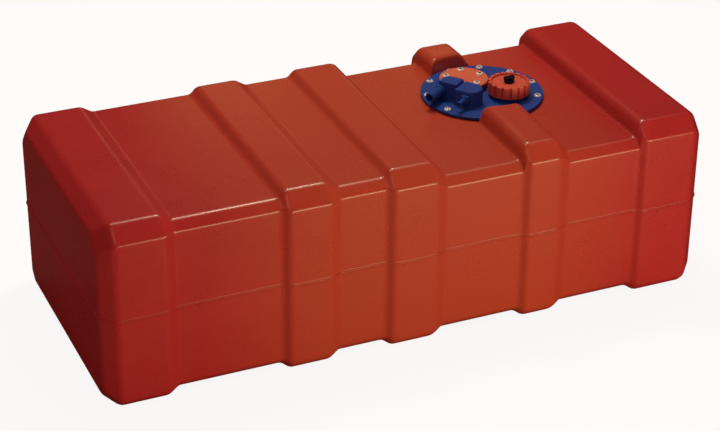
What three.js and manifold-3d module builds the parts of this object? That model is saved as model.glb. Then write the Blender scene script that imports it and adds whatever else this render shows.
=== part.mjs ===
// Moulded plastic fuel tank with a bolted access plate, filler cap and vent screw.
// Millimetres, +Z up, +X along the tank. The origin is the centre of the base, on the ground.
// The front long side faces -Y.

import * as THREE from 'three';
import { mergeVertices } from 'three/addons/utils/BufferGeometryUtils.js';
import Module from 'manifold-3d';

const wasm = await Module();
wasm.setup();

// Tank body: overall sizes over the raised bands, and the moulded wall.
const tankLength = 925;
const tankWidth = 400;
const tankHeight = 280;
const wallThickness = 5.5;

// Raised bands: where each one starts and ends along X, as shares of half the length.
const bandShares = [
  [-1, -0.803],
  [-0.407, -0.286],
  [-0.069, 0.061],
  [0.387, 0.478],
  [0.793, 1],
];
const fallingRampLength = 24;
const risingRampLength = 18;
const bandChamferWidth = 20.4;
const bandChamferDrop = 22.3;

// Sunk panels between the bands. The first two are shallow on top, the last two are deep.
const shallowPanelCount = 2;
const panelChamferWidth = 12.7;
const panelChamferDrop = 11.2;
const shallowRecess = 10.7;
const deepRecess = 25.6;
const sideRecess = 8.7;
const baseRecess = 5.9;

// Ends and base edges.
const endChamferLength = 20.5;
const endTopDrop = 18.2;
const baseChamfer = 12.5;

// Parting bead round the middle.
const beadProud = 1.4;
const beadRoot = 0.6;
const beadTaper = 1.4;
const beadFlat = 1.2;

// Access plate and the round seat that it stands on.
const plateCentreX = 211;
const plateCentreY = 36;
const seatDepth = 0.4;
const pocketClearance = 2;
const gasketThickness = 1.5;
const gasketInset = 2.5;
const plateThickness = 4.3;
const plateEdgeMargin = 8.5;
const plateEdgeRound = 0.8;
const discGap = 4.1;
const accessHoleMargin = 12;
const spigotRingWall = 3;
const spigotRingDepth = 5;
const spigotRingClearance = 2;
const backingRingThickness = 4;
const backingRingMargin = 7;
const backingRingSplit = 5;

// Screws: pan heads with a washer-like flange and a hexagon recess.
// The flange screws stand closer together at the back than at the front, so the plate fits one way.
const closeScrewCount = 6;
const wideScrewCount = 4;
const closeScrewPitch = THREE.MathUtils.degToRad(33.5);
const flangeScrewStart = THREE.MathUtils.degToRad(-34);
const coverScrewCount = 5;
const coverScrewStart = THREE.MathUtils.degToRad(3);
const shankRadius = 2.5;
const shankClearance = 0.4;
const headFlangeRadius = 5.2;
const headFlangeThickness = 0.9;
const headRadius = 4.2;
const headHeight = 2.7;
const headRound = 1;
const socketRadius = 1.9;
const socketDepth = 1.5;
const screwEndSpare = 1.5;
const screwHeadMargin = 6.2;

// Sender hole, its boss and its cover.
const coverRadius = 37;
const coverThickness = 4;
const coverEdgeRound = 0.8;
const coverGasketThickness = 1.5;
const coverScrewCircle = 54;
const coverScrewGrip = 6;
const senderBore = 40;
const senderBossInset = 1.5;
const senderBossHeight = 5.4;
const senderAngle = THREE.MathUtils.degToRad(115);

// Filler neck and its cap.
const fillerAngle = THREE.MathUtils.degToRad(-41);
const neckBore = 42;
const neckWall = 4;
const neckHeight = 15.4;
const threadPitch = 4;
const threadHeight = 1.4;
const threadRoot = 1.5;
const threadCrest = 0.8;
const threadClearance = 0.6;
const threadTopMargin = 1.2;
const threadSink = 0.8;
const neckThreadTurns = 1.5;
const capThreadTurns = 0.85;
const capRadius = 31.5;
const capTopThickness = 3;
const capRimHeight = 3;
const capRimWidth = 5.5;
const capSkirtGap = 6;
const capEdgeRound = 1;
const capGrooveCount = 16;
const capGrooveRadius = 2.2;
const capGrooveDepth = 1.4;
const capSealThickness = 2;
const capSealInset = 0.5;

// Vent screw in the cap.
const ventStemRadius = 3;
const ventStemBelowCap = 1.5;
const ventHoleClearance = 0.4;
const ventSealRadius = 6.6;
const ventSealThickness = 1;
const ventBaseRadius = 7.8;
const ventBaseHeight = 2.4;
const ventWingTopLength = 17.4;
const ventWingRootLength = 11.6;
const ventWingThickness = 5;
const ventWingHeight = 6.4;

// Vent and outlet housings: u runs along the two spigots, v runs across them.
const spigotAngle = THREE.MathUtils.degToRad(216);
const coverToHousing = 0.8;
const ventHousingLength = 25;
const ventHousingWidth = 30;
const ventHousingHeight = 29;
const ventHousingCorner = 13;
const housingSplit = -15;
const outletHousingHeight = 26;
const outletHousingRadius = 17.5;
const outletHousingWidth = 38;
const outletHousingShift = 2.5;
const ventPassageRadius = 5;
const ventPassageSetback = 12;
const ventSpigotRadius = 7;
const ventSpigotLength = 33;
const ventSpigotHeight = 14.5;
const ventSpigotEdgeGap = 4;
const ventCollarRadius = 8.6;
const ventCollarLength = 5;
const ventBarbHeight = 0.9;
const ventBarbCount = 5;
const ventBarbPitch = 4.2;
const ventBarbStart = 3;
const outletPassageRadius = 2;
const outletSpigotRadius = 3.3;
const outletSpigotLength = 22;
const outletSpigotHeight = 14;
const outletBarbHeight = 0.6;
const outletBarbLength = 3.5;
const outletBossWidth = 12;
const outletBossLength = 5;
const outletBossAbove = 6;
const outletBossBelow = 5;
const supportWebThickness = 4;
const supportWebSetback = 8;
const supportWebHeight = 5;

// Pick-up pipe and strainer.
const pipeRadius = 5;
const pipeWall = 1.5;
const pipeClearance = 0.4;
const pipeSocketWall = 3.5;
const pipeSocketDepth = 12;
const pipeEndGap = 16;
const strainerWall = 1.6;
const strainerFloor = 2;
const strainerBelowPipe = 12;
const strainerOverlap = 14;
const strainerSlotCount = 6;
const strainerSlotWidth = 3;
const strainerSlotLand = 2;

// Gap that touching pieces keep, and how far a cutter runs past a face.
const seatGap = 0.3;
const overrun = 1;

// Facet counts.
const largeSides = 48;
const mediumSides = 32;
const smallSides = 16;
const screwSides = 12;
const socketSides = 6;

// Heights in the plate's own axes, where zero is the seat on the tank.
const seatHeight = tankHeight - deepRecess - seatDepth;
const gasketBottom = seatGap;
const plateBottom = gasketBottom + gasketThickness + seatGap;
const plateTop = plateBottom + plateThickness;
const neckTop = plateTop + neckHeight;
const capCeiling = neckTop + capSealThickness + 2 * seatGap;
const capFace = capCeiling + capTopThickness;
const capTop = capFace + capRimHeight;
const capBottom = plateTop + capSkirtGap;
const coverGasketBottom = plateTop + senderBossHeight + seatGap;
const coverBottom = coverGasketBottom + coverGasketThickness + seatGap;
const coverTop = coverBottom + coverThickness;

// Radii and places worked out from what has to fit on the plate.
const fieldRadius = capRadius + coverRadius + discGap;
const boltCircleRadius = fieldRadius + headFlangeRadius + screwHeadMargin;
const plateRadius = boltCircleRadius + plateEdgeMargin;
const pocketRadius = plateRadius + pocketClearance;
const accessHoleRadius = boltCircleRadius - accessHoleMargin;
const screwHoleRadius = shankRadius + shankClearance;
const neckOuterRadius = neckBore / 2 + neckWall;
const capBoreRadius = neckOuterRadius + threadHeight + threadClearance;
const ventHoleRadius = ventStemRadius + ventHoleClearance;
const pipeHoleRadius = pipeRadius + pipeClearance;

// A point at a distance and angle from the plate's centre.
function polar(distance, angle) {
  return new THREE.Vector2(distance * Math.cos(angle), distance * Math.sin(angle));
}

// Angles of the flange screws, and of any even pattern.
function flangeAngles() {
  const wideScrewPitch = (2 * Math.PI - closeScrewCount * closeScrewPitch) / wideScrewCount;
  const angles = [];
  let angle = flangeScrewStart;
  for (let i = 0; i < closeScrewCount + wideScrewCount; i += 1) {
    angles.push(angle);
    angle += i < closeScrewCount ? closeScrewPitch : wideScrewPitch;
  }
  return angles;
}

function evenAngles(count, start) {
  return Array.from({ length: count }, (_, i) => start + (2 * Math.PI * i) / count);
}

const fillerPlace = polar(fieldRadius - capRadius, fillerAngle);
const senderPlace = polar(fieldRadius - coverRadius, senderAngle);
const housingBack = senderPlace.dot(polar(1, spigotAngle)) + coverRadius + coverToHousing;
const housingFront = housingBack + ventHousingLength;
const outletCentreU = housingBack + outletHousingRadius - outletHousingShift;
const outletCentreV = housingSplit + outletHousingWidth - outletHousingRadius;
const ventSpigotV = housingSplit - ventHousingWidth + ventSpigotEdgeGap;
const outletFront = outletCentreU + outletHousingRadius;
const pipePlace = polar(outletCentreU, spigotAngle).add(polar(outletCentreV, spigotAngle + Math.PI / 2));
const pipeTop = plateBottom - seatGap;
const pipeBottom = baseRecess + wallThickness + pipeEndGap - seatHeight;

// A closed geometry becomes a solid.
function solid(geometry) {
  const bare = geometry.clone();
  bare.deleteAttribute('normal');
  bare.deleteAttribute('uv');
  const merged = mergeVertices(bare);
  const mesh = new wasm.Mesh({
    numProp: 3,
    vertProperties: new Float32Array(merged.attributes.position.array),
    triVerts: new Uint32Array(merged.index.array),
  });
  return new wasm.Manifold(mesh);
}

// A solid becomes a flat-shaded geometry.
function surface(body) {
  const mesh = body.getMesh();
  const indexed = new THREE.BufferGeometry();
  indexed.setAttribute('position', new THREE.BufferAttribute(mesh.vertProperties, 3));
  indexed.setIndex(new THREE.BufferAttribute(mesh.triVerts, 1));
  const geometry = indexed.toNonIndexed();
  geometry.computeVertexNormals();
  return geometry;
}

// Solids joined into one.
function joined(...bodies) {
  return wasm.Manifold.union(bodies);
}

// A profile of [radius, height] points turned round the Z axis.
function turned(points, sides = mediumSides) {
  const profile = points.map(([radius, height]) => new THREE.Vector2(radius, height));
  const geometry = new THREE.LatheGeometry(profile, sides);
  geometry.rotateX(Math.PI / 2);
  return solid(geometry);
}

// A disc, or the cutter for a round hole, between two heights.
function disc(radius, low, high, sides = mediumSides) {
  return turned([[0, low], [radius, low], [radius, high], [0, high]], sides);
}

// A flat ring between two heights.
function ring(inner, outer, low, high, sides = largeSides) {
  return turned([[inner, low], [outer, low], [outer, high], [inner, high], [inner, low]], sides);
}

// A box between two corners.
function block(low, high) {
  const geometry = new THREE.BoxGeometry(high[0] - low[0], high[1] - low[1], high[2] - low[2]);
  geometry.translate((low[0] + high[0]) / 2, (low[1] + high[1]) / 2, (low[2] + high[2]) / 2);
  return solid(geometry);
}

// A flat outline raised between two heights.
function prism(shape, low, high) {
  const settings = { depth: high - low, bevelEnabled: false, curveSegments: smallSides };
  const geometry = new THREE.ExtrudeGeometry(shape, settings);
  geometry.translate(0, 0, low);
  return solid(geometry);
}

// The same solid at each angle round a circle.
function spread(body, angles, radius) {
  const copies = angles.map((angle) => {
    const place = polar(radius, angle);
    return body.translate([place.x, place.y, 0]);
  });
  return joined(...copies);
}

// Moves a solid from the plate's centre to a place on it.
function at(body, place) {
  return body.translate([place.x, place.y, 0]);
}

// Turns a solid drawn along u and v into the plate's own axes.
function besideSpigots(body) {
  return body.rotate([0, 0, THREE.MathUtils.radToDeg(spigotAngle)]);
}

// Lays a solid turned round Z along u instead, pointing to +u, at v and z.
function alongU(body, v, z) {
  return body.rotate([0, 90, 0]).translate([0, v, z]);
}

// A helical ridge of trapezoid section. With an inward crest it is an internal thread.
function helicalRidge(rootRadius, crestRadius, start, turns) {
  const steps = Math.round(turns * mediumSides);
  const positions = [];
  const index = [];
  for (let i = 0; i <= steps; i += 1) {
    const angle = (2 * Math.PI * i) / mediumSides;
    const middle = start + (threadPitch * i) / mediumSides;
    const corners = [
      [rootRadius, -threadRoot / 2], [crestRadius, -threadCrest / 2],
      [crestRadius, threadCrest / 2], [rootRadius, threadRoot / 2],
    ];
    for (const [radius, offset] of corners) {
      positions.push(radius * Math.cos(angle), radius * Math.sin(angle), middle + offset);
    }
  }
  const inward = crestRadius < rootRadius;
  const quad = (a, b, c, d) => {
    index.push(...(inward ? [a, c, b, a, d, c] : [a, b, c, a, c, d]));
  };
  for (let i = 0; i < steps; i += 1) {
    for (let k = 0; k < 4; k += 1) {
      const a = 4 * i + k;
      const b = 4 * i + ((k + 1) % 4);
      quad(a, a + 4, b + 4, b);
    }
  }
  quad(0, 1, 2, 3);
  const last = 4 * steps;
  quad(last + 3, last + 2, last + 1, last);
  const geometry = new THREE.BufferGeometry();
  geometry.setAttribute('position', new THREE.Float32BufferAttribute(positions, 3));
  geometry.setIndex(index);
  return solid(geometry);
}

// A chamfer as it is on the inner side of a wall: its two legs both get shorter.
function chamferInside(run, drop, wall) {
  const slope = Math.hypot(run, drop);
  return {
    run: run - wall * (1 + (run - slope) / drop),
    drop: drop - wall * (1 + (drop - slope) / run),
  };
}

// How far a ramp moves towards its band on the inner side of a wall.
function rampInside(run, recess, wall) {
  return wall * Math.tan(Math.atan2(recess, run) / 2);
}

// One cross-section of the tank, as a loop of [y, z] points.
function section(halfWide, base, top, chamfer, baseCut) {
  const side = [
    [halfWide - baseCut, base],
    [halfWide, base + baseCut],
    [halfWide, top - chamfer.drop],
    [halfWide - chamfer.run, top],
  ];
  const mirrored = side.map(([y, z]) => [-y, z]).reverse();
  return [...side, ...mirrored];
}

// Cross-sections along X for the outer skin, or for the hollow when a wall is given.
function tankStations(wall) {
  const bandChamfer = chamferInside(bandChamferWidth, bandChamferDrop, wall);
  const panelChamfer = chamferInside(panelChamferWidth, panelChamferDrop, wall);
  const baseCut = chamferInside(baseChamfer, baseChamfer, wall).drop;
  const endCorner = chamferInside(endChamferLength, endChamferLength, wall);
  const endTop = chamferInside(endChamferLength, endTopDrop, wall);
  const endBase = chamferInside(endChamferLength, baseChamfer, wall);
  const wide = tankWidth / 2 - wall;
  const top = tankHeight - wall;
  const end = tankLength / 2 - wall;
  const band = section(wide, wall, top, bandChamfer, baseCut);
  const endFace = section(
    wide - endCorner.drop, wall + endBase.drop, top - endTop.drop, bandChamfer, baseCut);
  const stations = [{ x: -end, points: endFace }, { x: -end + endCorner.run, points: band }];
  for (let i = 0; i + 1 < bandShares.length; i += 1) {
    const recess = i < shallowPanelCount ? shallowRecess : deepRecess;
    const panel = section(wide - sideRecess, baseRecess + wall, top - recess, panelChamfer, baseCut);
    const fall = rampInside(fallingRampLength, recess, wall);
    const rise = rampInside(risingRampLength, recess, wall);
    const bandEnd = (bandShares[i][1] * tankLength) / 2 - fall;
    const nextBand = (bandShares[i + 1][0] * tankLength) / 2 + rise;
    stations.push({ x: bandEnd, points: band });
    stations.push({ x: bandEnd + fallingRampLength, points: panel });
    stations.push({ x: nextBand - risingRampLength, points: panel });
    stations.push({ x: nextBand, points: band });
  }
  stations.push({ x: end - endCorner.run, points: band });
  stations.push({ x: end, points: endFace });
  return stations;
}

// Cross-sections joined into one closed skin.
function loft(stations) {
  const count = stations[0].points.length;
  const positions = stations.flatMap(({ x, points }) => points.flatMap(([y, z]) => [x, y, z]));
  const index = [];
  for (let s = 0; s + 1 < stations.length; s += 1) {
    for (let i = 0; i < count; i += 1) {
      const a = s * count + i;
      const b = s * count + ((i + 1) % count);
      index.push(a, b, b + count, a, b + count, a + count);
    }
  }
  const last = (stations.length - 1) * count;
  for (let i = 1; i + 1 < count; i += 1) {
    index.push(0, i + 1, i);
    index.push(last, last + i, last + i + 1);
  }
  const geometry = new THREE.BufferGeometry();
  geometry.setAttribute('position', new THREE.Float32BufferAttribute(positions, 3));
  geometry.setIndex(index);
  return solid(geometry);
}

// The tank's outline from above, for the parting bead that follows it.
function planOutline() {
  const edge = tankStations(0).map(({ x, points }) => {
    const widest = Math.max(...points.map(([y]) => y));
    return new THREE.Vector2(x, widest);
  });
  const back = edge.map(({ x, y }) => new THREE.Vector2(x, -y)).reverse();
  return new THREE.Shape([...edge, ...back]);
}

function partingBead() {
  const geometry = new THREE.ExtrudeGeometry(planOutline(), {
    depth: beadFlat,
    bevelThickness: beadTaper,
    bevelSize: beadProud + beadRoot,
    bevelOffset: -beadRoot,
    bevelSegments: 1,
  });
  geometry.translate(0, 0, (tankHeight - beadFlat) / 2);
  return solid(geometry);
}

// The hollow tank with its round seat, access hole and screw holes.
function tankShell() {
  const centre = [plateCentreX, plateCentreY, 0];
  const pocket = disc(pocketRadius, seatHeight, tankHeight + overrun, largeSides).translate(centre);
  const pocketWall = disc(
    pocketRadius + wallThickness, seatHeight - wallThickness, tankHeight + overrun, largeSides);
  const hollow = loft(tankStations(wallThickness)).subtract(pocketWall.translate(centre));
  const low = seatHeight - wallThickness - overrun;
  const high = seatHeight + overrun;
  const access = disc(accessHoleRadius, low, high, largeSides).translate(centre);
  const hole = disc(screwHoleRadius, low, high, screwSides);
  const holes = spread(hole, flangeAngles(), boltCircleRadius).translate(centre);
  const outside = joined(loft(tankStations(0)), partingBead());
  return outside.subtract(pocket).subtract(hollow).subtract(access).subtract(holes);
}

// A flat ring under the plate with the flange screw holes.
function boltedRing(outer, low, high) {
  const hole = disc(screwHoleRadius, low - overrun, high + overrun, screwSides);
  const holes = spread(hole, flangeAngles(), boltCircleRadius);
  return ring(accessHoleRadius, outer, low, high).subtract(holes);
}

// The tapped ring inside the tank, split so that it goes in through the access hole.
function backingRing() {
  const high = -wallThickness - seatGap;
  const low = high - backingRingThickness;
  const body = boltedRing(boltCircleRadius + backingRingMargin, low, high);
  const slit = block(
    [0, -backingRingSplit / 2, low - overrun], [plateRadius, backingRingSplit / 2, high + overrun]);
  const betweenScrews = THREE.MathUtils.radToDeg(flangeScrewStart + closeScrewPitch / 2);
  return body.subtract(slit.rotate([0, 0, betweenScrews]));
}

// A disc with a rounded top edge.
function edgedDisc(radius, low, high, round, sides) {
  return turned([[0, low], [radius, low], [radius, high - round], [radius - round, high], [0, high]], sides);
}

// Filler neck outside its bore, with the thread that the cap runs on.
function fillerNeck() {
  const wall = disc(neckOuterRadius, plateTop - overrun, neckTop, largeSides);
  const threadTop = neckTop - threadTopMargin - threadRoot / 2;
  const thread = helicalRidge(
    neckOuterRadius - threadSink, neckOuterRadius + threadHeight,
    threadTop - neckThreadTurns * threadPitch, neckThreadTurns);
  return at(joined(wall, thread), fillerPlace);
}

// Flat-topped vent housing: a block with one rounded corner at the back.
function ventHousing() {
  const outline = new THREE.Shape();
  const far = housingSplit - ventHousingWidth;
  outline.moveTo(housingFront, far);
  outline.lineTo(housingFront, housingSplit + overrun);
  outline.lineTo(housingBack, housingSplit + overrun);
  outline.lineTo(housingBack, far + ventHousingCorner);
  outline.absarc(
    housingBack + ventHousingCorner, far + ventHousingCorner, ventHousingCorner,
    Math.PI, 1.5 * Math.PI, false);
  return prism(outline, plateTop - overrun, plateTop + ventHousingHeight);
}

// Outlet housing: a block with a half-round end, lower than the vent housing.
function outletHousing() {
  const outline = new THREE.Shape();
  outline.moveTo(outletCentreU + outletHousingRadius, housingSplit);
  outline.absarc(outletCentreU, outletCentreV, outletHousingRadius, 0, Math.PI, false);
  outline.lineTo(outletCentreU - outletHousingRadius, housingSplit);
  return prism(outline, plateTop - overrun, plateTop + outletHousingHeight);
}

// Large hose spigot: a collar, a stem and saw-tooth barbs, drawn from its root along +Z.
function ventSpigot() {
  const root = -ventSpigotEdgeGap;
  const points = [[0, root], [ventCollarRadius, root], [ventCollarRadius, ventCollarLength]];
  points.push([ventSpigotRadius, ventCollarLength]);
  for (let i = ventBarbCount; i > 0; i -= 1) {
    const tooth = ventSpigotLength - ventBarbStart - i * ventBarbPitch + ventBarbPitch;
    points.push([ventSpigotRadius, tooth - ventBarbPitch / 4]);
    points.push([ventSpigotRadius + ventBarbHeight, tooth - ventBarbPitch / 4]);
    points.push([ventSpigotRadius, tooth + ventBarbPitch / 2]);
  }
  points.push([ventSpigotRadius, ventSpigotLength], [0, ventSpigotLength]);
  return turned(points, smallSides);
}

// Small fuel spigot with one barb at its mouth.
function outletSpigot() {
  const tooth = outletSpigotLength - outletBarbLength;
  return turned([
    [0, -outletHousingRadius], [outletSpigotRadius, -outletHousingRadius], [outletSpigotRadius, tooth],
    [outletSpigotRadius + outletBarbHeight, tooth], [outletSpigotRadius, outletSpigotLength],
    [0, outletSpigotLength],
  ], smallSides);
}

// Both housings with their spigots, boss and web, still drawn along u and v.
function housings() {
  const ventZ = plateTop + ventSpigotHeight;
  const outletZ = plateTop + outletSpigotHeight;
  const boss = block(
    [outletFront - outletHousingRadius, outletCentreV - outletBossWidth / 2, outletZ - outletBossBelow],
    [outletFront + outletBossLength, outletCentreV + outletBossWidth / 2, outletZ + outletBossAbove]);
  const web = block(
    [housingFront - overrun, ventSpigotV - supportWebThickness / 2, plateTop - overrun],
    [housingFront + ventSpigotLength - supportWebSetback, ventSpigotV + supportWebThickness / 2,
      plateTop + supportWebHeight]);
  return joined(
    ventHousing(), outletHousing(), boss, web,
    alongU(ventSpigot(), ventSpigotV, ventZ).translate([housingFront, 0, 0]),
    alongU(outletSpigot(), outletCentreV, outletZ).translate([outletFront, 0, 0]));
}

// The passages inside the housings, as cutters along u and v.
function passages() {
  const ventZ = plateTop + ventSpigotHeight;
  const outletZ = plateTop + outletSpigotHeight;
  const ventEnd = ventSpigotLength + overrun;
  const outletEnd = outletSpigotLength + overrun;
  const below = plateBottom - pipeSocketDepth - overrun;
  const rise = disc(ventPassageRadius, plateBottom - overrun, ventZ, smallSides);
  const vent = disc(ventPassageRadius, -ventPassageSetback, ventEnd, smallSides);
  const outlet = disc(outletPassageRadius, -outletHousingRadius, outletEnd, screwSides);
  const riser = disc(outletPassageRadius, plateBottom - overrun, outletZ, screwSides);
  const socket = disc(pipeHoleRadius, below, plateBottom, smallSides);
  return joined(
    rise.translate([housingFront - ventPassageSetback, ventSpigotV, 0]),
    alongU(vent, ventSpigotV, ventZ).translate([housingFront, 0, 0]),
    alongU(outlet, outletCentreV, outletZ).translate([outletFront, 0, 0]),
    riser.translate([outletCentreU, outletCentreV, 0]),
    socket.translate([outletCentreU, outletCentreV, 0]));
}

// The moulded plate: disc, filler neck, sender boss, both housings and the parts below.
function accessPlate() {
  const under = plateBottom - spigotRingDepth;
  const spigotOuter = accessHoleRadius - spigotRingClearance;
  const rim = ring(spigotOuter - spigotRingWall, spigotOuter, under, plateBottom + overrun);
  const socket = disc(
    pipeHoleRadius + pipeSocketWall, plateBottom - pipeSocketDepth, plateBottom + overrun, smallSides);
  const bossTop = plateTop + senderBossHeight;
  const boss = disc(coverRadius - senderBossInset, plateTop - overrun, bossTop, largeSides);
  const body = joined(
    edgedDisc(plateRadius, plateBottom, plateTop, plateEdgeRound, largeSides),
    rim, at(socket, pipePlace), at(boss, senderPlace), fillerNeck(), besideSpigots(housings()));
  const deep = plateBottom - overrun;
  const screwHole = disc(screwHoleRadius, deep, plateTop + overrun, screwSides);
  const coverHole = disc(screwHoleRadius, bossTop - coverScrewGrip, coverBottom, screwSides);
  const neckHole = disc(neckBore / 2, deep, neckTop + overrun, largeSides);
  const senderHole = disc(senderBore / 2, deep, coverBottom, mediumSides);
  const coverHoles = spread(coverHole, evenAngles(coverScrewCount, coverScrewStart), coverScrewCircle / 2);
  return body
    .subtract(spread(screwHole, flangeAngles(), boltCircleRadius))
    .subtract(at(joined(senderHole, coverHoles), senderPlace))
    .subtract(at(neckHole, fillerPlace))
    .subtract(besideSpigots(passages()));
}

// Sender hole cover or the rubber under it: a disc with the five screw holes.
function coverDisc(low, high, round, bore) {
  const hole = disc(screwHoleRadius, low - overrun, high + overrun, screwSides);
  const holes = spread(hole, evenAngles(coverScrewCount, coverScrewStart), coverScrewCircle / 2);
  const body = edgedDisc(coverRadius, low, high, round, largeSides).subtract(holes);
  return bore > 0 ? body.subtract(disc(bore, low - overrun, high + overrun)) : body;
}

// A pan-head screw whose head stands on height zero, with its shank below.
function screw(reach) {
  const body = turned([
    [0, -reach], [shankRadius, -reach], [shankRadius, 0], [headFlangeRadius, 0],
    [headFlangeRadius, headFlangeThickness], [headRadius, headFlangeThickness],
    [headRadius, headHeight - headRound], [headRadius - headRound, headHeight], [0, headHeight],
  ], screwSides);
  return body.subtract(disc(socketRadius, headHeight - socketDepth, headHeight + overrun, socketSides));
}

// Filler cap in its own axes, centred on the neck.
function fillerCap() {
  const outline = edgedDisc(capRadius, capBottom, capTop, capEdgeRound, largeSides);
  const groove = disc(capGrooveRadius, capBottom - overrun, capTop + overrun, screwSides);
  const grooveCircle = capRadius + capGrooveRadius - capGrooveDepth;
  const bore = disc(capBoreRadius, capBottom - overrun, capCeiling, largeSides);
  const dish = disc(capRadius - capRimWidth, capFace, capTop + overrun, largeSides);
  const hole = disc(ventHoleRadius, capCeiling - overrun, capFace + overrun, smallSides);
  const threadStart = neckTop - threadTopMargin - threadRoot / 2 - neckThreadTurns * threadPitch;
  const thread = helicalRidge(
    capBoreRadius + threadSink, neckOuterRadius + threadClearance,
    threadStart + threadPitch / 2, capThreadTurns);
  const shell = outline.subtract(spread(groove, evenAngles(capGrooveCount, 0), grooveCircle));
  return joined(shell.subtract(bore), thread).subtract(dish).subtract(hole);
}

// Vent screw: a stem through the cap, a round base and a thumb wing wider at its top.
function ventKnob() {
  const base = capFace + ventSealThickness + 2 * seatGap;
  const wingRoot = base + ventBaseHeight;
  const body = turned([
    [0, capCeiling - ventStemBelowCap], [ventStemRadius, capCeiling - ventStemBelowCap],
    [ventStemRadius, base], [ventBaseRadius, base], [ventBaseRadius, wingRoot], [0, wingRoot],
  ], smallSides);
  const outline = new THREE.Shape([
    new THREE.Vector2(-ventWingRootLength / 2, wingRoot - ventBaseHeight / 2),
    new THREE.Vector2(ventWingRootLength / 2, wingRoot - ventBaseHeight / 2),
    new THREE.Vector2(ventWingTopLength / 2, wingRoot + ventWingHeight / 2),
    new THREE.Vector2(ventWingTopLength / 2, wingRoot + ventWingHeight),
    new THREE.Vector2(-ventWingTopLength / 2, wingRoot + ventWingHeight),
    new THREE.Vector2(-ventWingTopLength / 2, wingRoot + ventWingHeight / 2),
  ]);
  const wing = prism(outline, -ventWingThickness / 2, ventWingThickness / 2).rotate([90, 0, 0]);
  return joined(body, wing);
}

// Slotted cup on the pipe's lower end.
function strainer() {
  const inner = pipeHoleRadius;
  const outer = inner + strainerWall;
  const low = pipeBottom - strainerBelowPipe;
  const high = pipeBottom + strainerOverlap;
  const cup = turned([
    [0, low - strainerFloor], [outer, low - strainerFloor], [outer, high], [inner, high], [inner, low],
    [0, low],
  ], smallSides);
  const slot = block(
    [0, -strainerSlotWidth / 2, low + strainerSlotLand],
    [outer + overrun, strainerSlotWidth / 2, pipeBottom - strainerSlotLand]);
  const slots = [];
  for (let i = 0; i < strainerSlotCount; i += 1) {
    slots.push(slot.rotate([0, 0, (360 * i) / strainerSlotCount]));
  }
  return cup.subtract(joined(...slots));
}

// Finishes.
const redPlastic = { color: 0xa83a26, roughness: 0.45, metalness: 0 };
const orangePlastic = { color: 0xc4502c, roughness: 0.5, metalness: 0 };
const bluePlastic = { color: 0x2c4a8c, roughness: 0.5, metalness: 0 };
const navyPlastic = { color: 0x101626, roughness: 0.45, metalness: 0 };
const blackRubber = { color: 0x17171a, roughness: 0.8, metalness: 0 };
const stainless = { color: 0xc9c9c4, roughness: 0.25, metalness: 1 };
const naturalPlastic = { color: 0xd8d4c4, roughness: 0.5, metalness: 0 };

// A named piece, placed by its own position inside a group.
function piece(name, body, finish, group, x = 0, y = 0, z = 0) {
  const mesh = new THREE.Mesh(surface(body), new THREE.MeshStandardMaterial(finish));
  mesh.name = name;
  mesh.position.set(x, y, z);
  group.add(mesh);
}

const tank = new THREE.Group();
piece('tank_shell', tankShell(), redPlastic, tank);

// Everything on the access plate stands in the plate's own axes.
const fittings = new THREE.Group();
fittings.position.set(plateCentreX, plateCentreY, seatHeight);
tank.add(fittings);
const gasket = boltedRing(plateRadius - gasketInset, gasketBottom, gasketBottom + gasketThickness);
piece('flange_gasket', gasket, blackRubber, fittings);
piece('access_plate', accessPlate(), bluePlastic, fittings);
piece('backing_ring', backingRing(), stainless, fittings);

const flangeReach = plateTop + seatGap + wallThickness + seatGap + backingRingThickness + screwEndSpare;
flangeAngles().forEach((angle, i) => {
  const place = polar(boltCircleRadius, angle);
  const name = `flange_screw_${String(i + 1).padStart(2, '0')}`;
  piece(name, screw(flangeReach), stainless, fittings, place.x, place.y, plateTop + seatGap);
});

// Sender hole cover with its rubber and screws.
const sender = new THREE.Group();
sender.position.set(senderPlace.x, senderPlace.y, 0);
fittings.add(sender);
const rubberTop = coverGasketBottom + coverGasketThickness;
piece('cover_gasket', coverDisc(coverGasketBottom, rubberTop, 0, senderBore / 2), blackRubber, sender);
piece('sender_hole_cover', coverDisc(coverBottom, coverTop, coverEdgeRound, 0), orangePlastic, sender);
const coverReach = coverTop - (plateTop + senderBossHeight - coverScrewGrip);
evenAngles(coverScrewCount, coverScrewStart).forEach((angle, i) => {
  const place = polar(coverScrewCircle / 2, angle);
  piece(`cover_screw_${i + 1}`, screw(coverReach), stainless, sender, place.x, place.y, coverTop + seatGap);
});

// Filler cap with its seal and vent screw.
const filler = new THREE.Group();
filler.position.set(fillerPlace.x, fillerPlace.y, 0);
fittings.add(filler);
const sealBottom = neckTop + seatGap;
const capSeal = ring(neckBore / 2 + capSealInset, neckOuterRadius, sealBottom, sealBottom + capSealThickness);
piece('cap_seal', capSeal, blackRubber, filler);
piece('filler_cap', fillerCap(), orangePlastic, filler);
const ventSealBottom = capFace + seatGap;
const ventSealTop = ventSealBottom + ventSealThickness;
const ventSeal = ring(ventHoleRadius, ventSealRadius, ventSealBottom, ventSealTop, smallSides);
piece('vent_seal', ventSeal, blackRubber, filler);
piece('vent_knob', ventKnob(), navyPlastic, filler);

// Pick-up pipe and strainer below the outlet housing.
const pickup = new THREE.Group();
pickup.position.set(pipePlace.x, pipePlace.y, 0);
fittings.add(pickup);
const dipTube = ring(pipeRadius - pipeWall, pipeRadius, pipeBottom, pipeTop, smallSides);
piece('fuel_dip_tube', dipTube, naturalPlastic, pickup);
piece('pickup_strainer', strainer(), naturalPlastic, pickup);

export default tank;
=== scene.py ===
"""Looks for the moulded plastic fuel tank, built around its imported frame.

The shapes below are written in millimetres in the frame's own axes: +Z up, +X along the
tank, the front long side facing -Y, and the origin under the middle of the base.
They are turned into metres when a mesh is made.
"""

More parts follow.
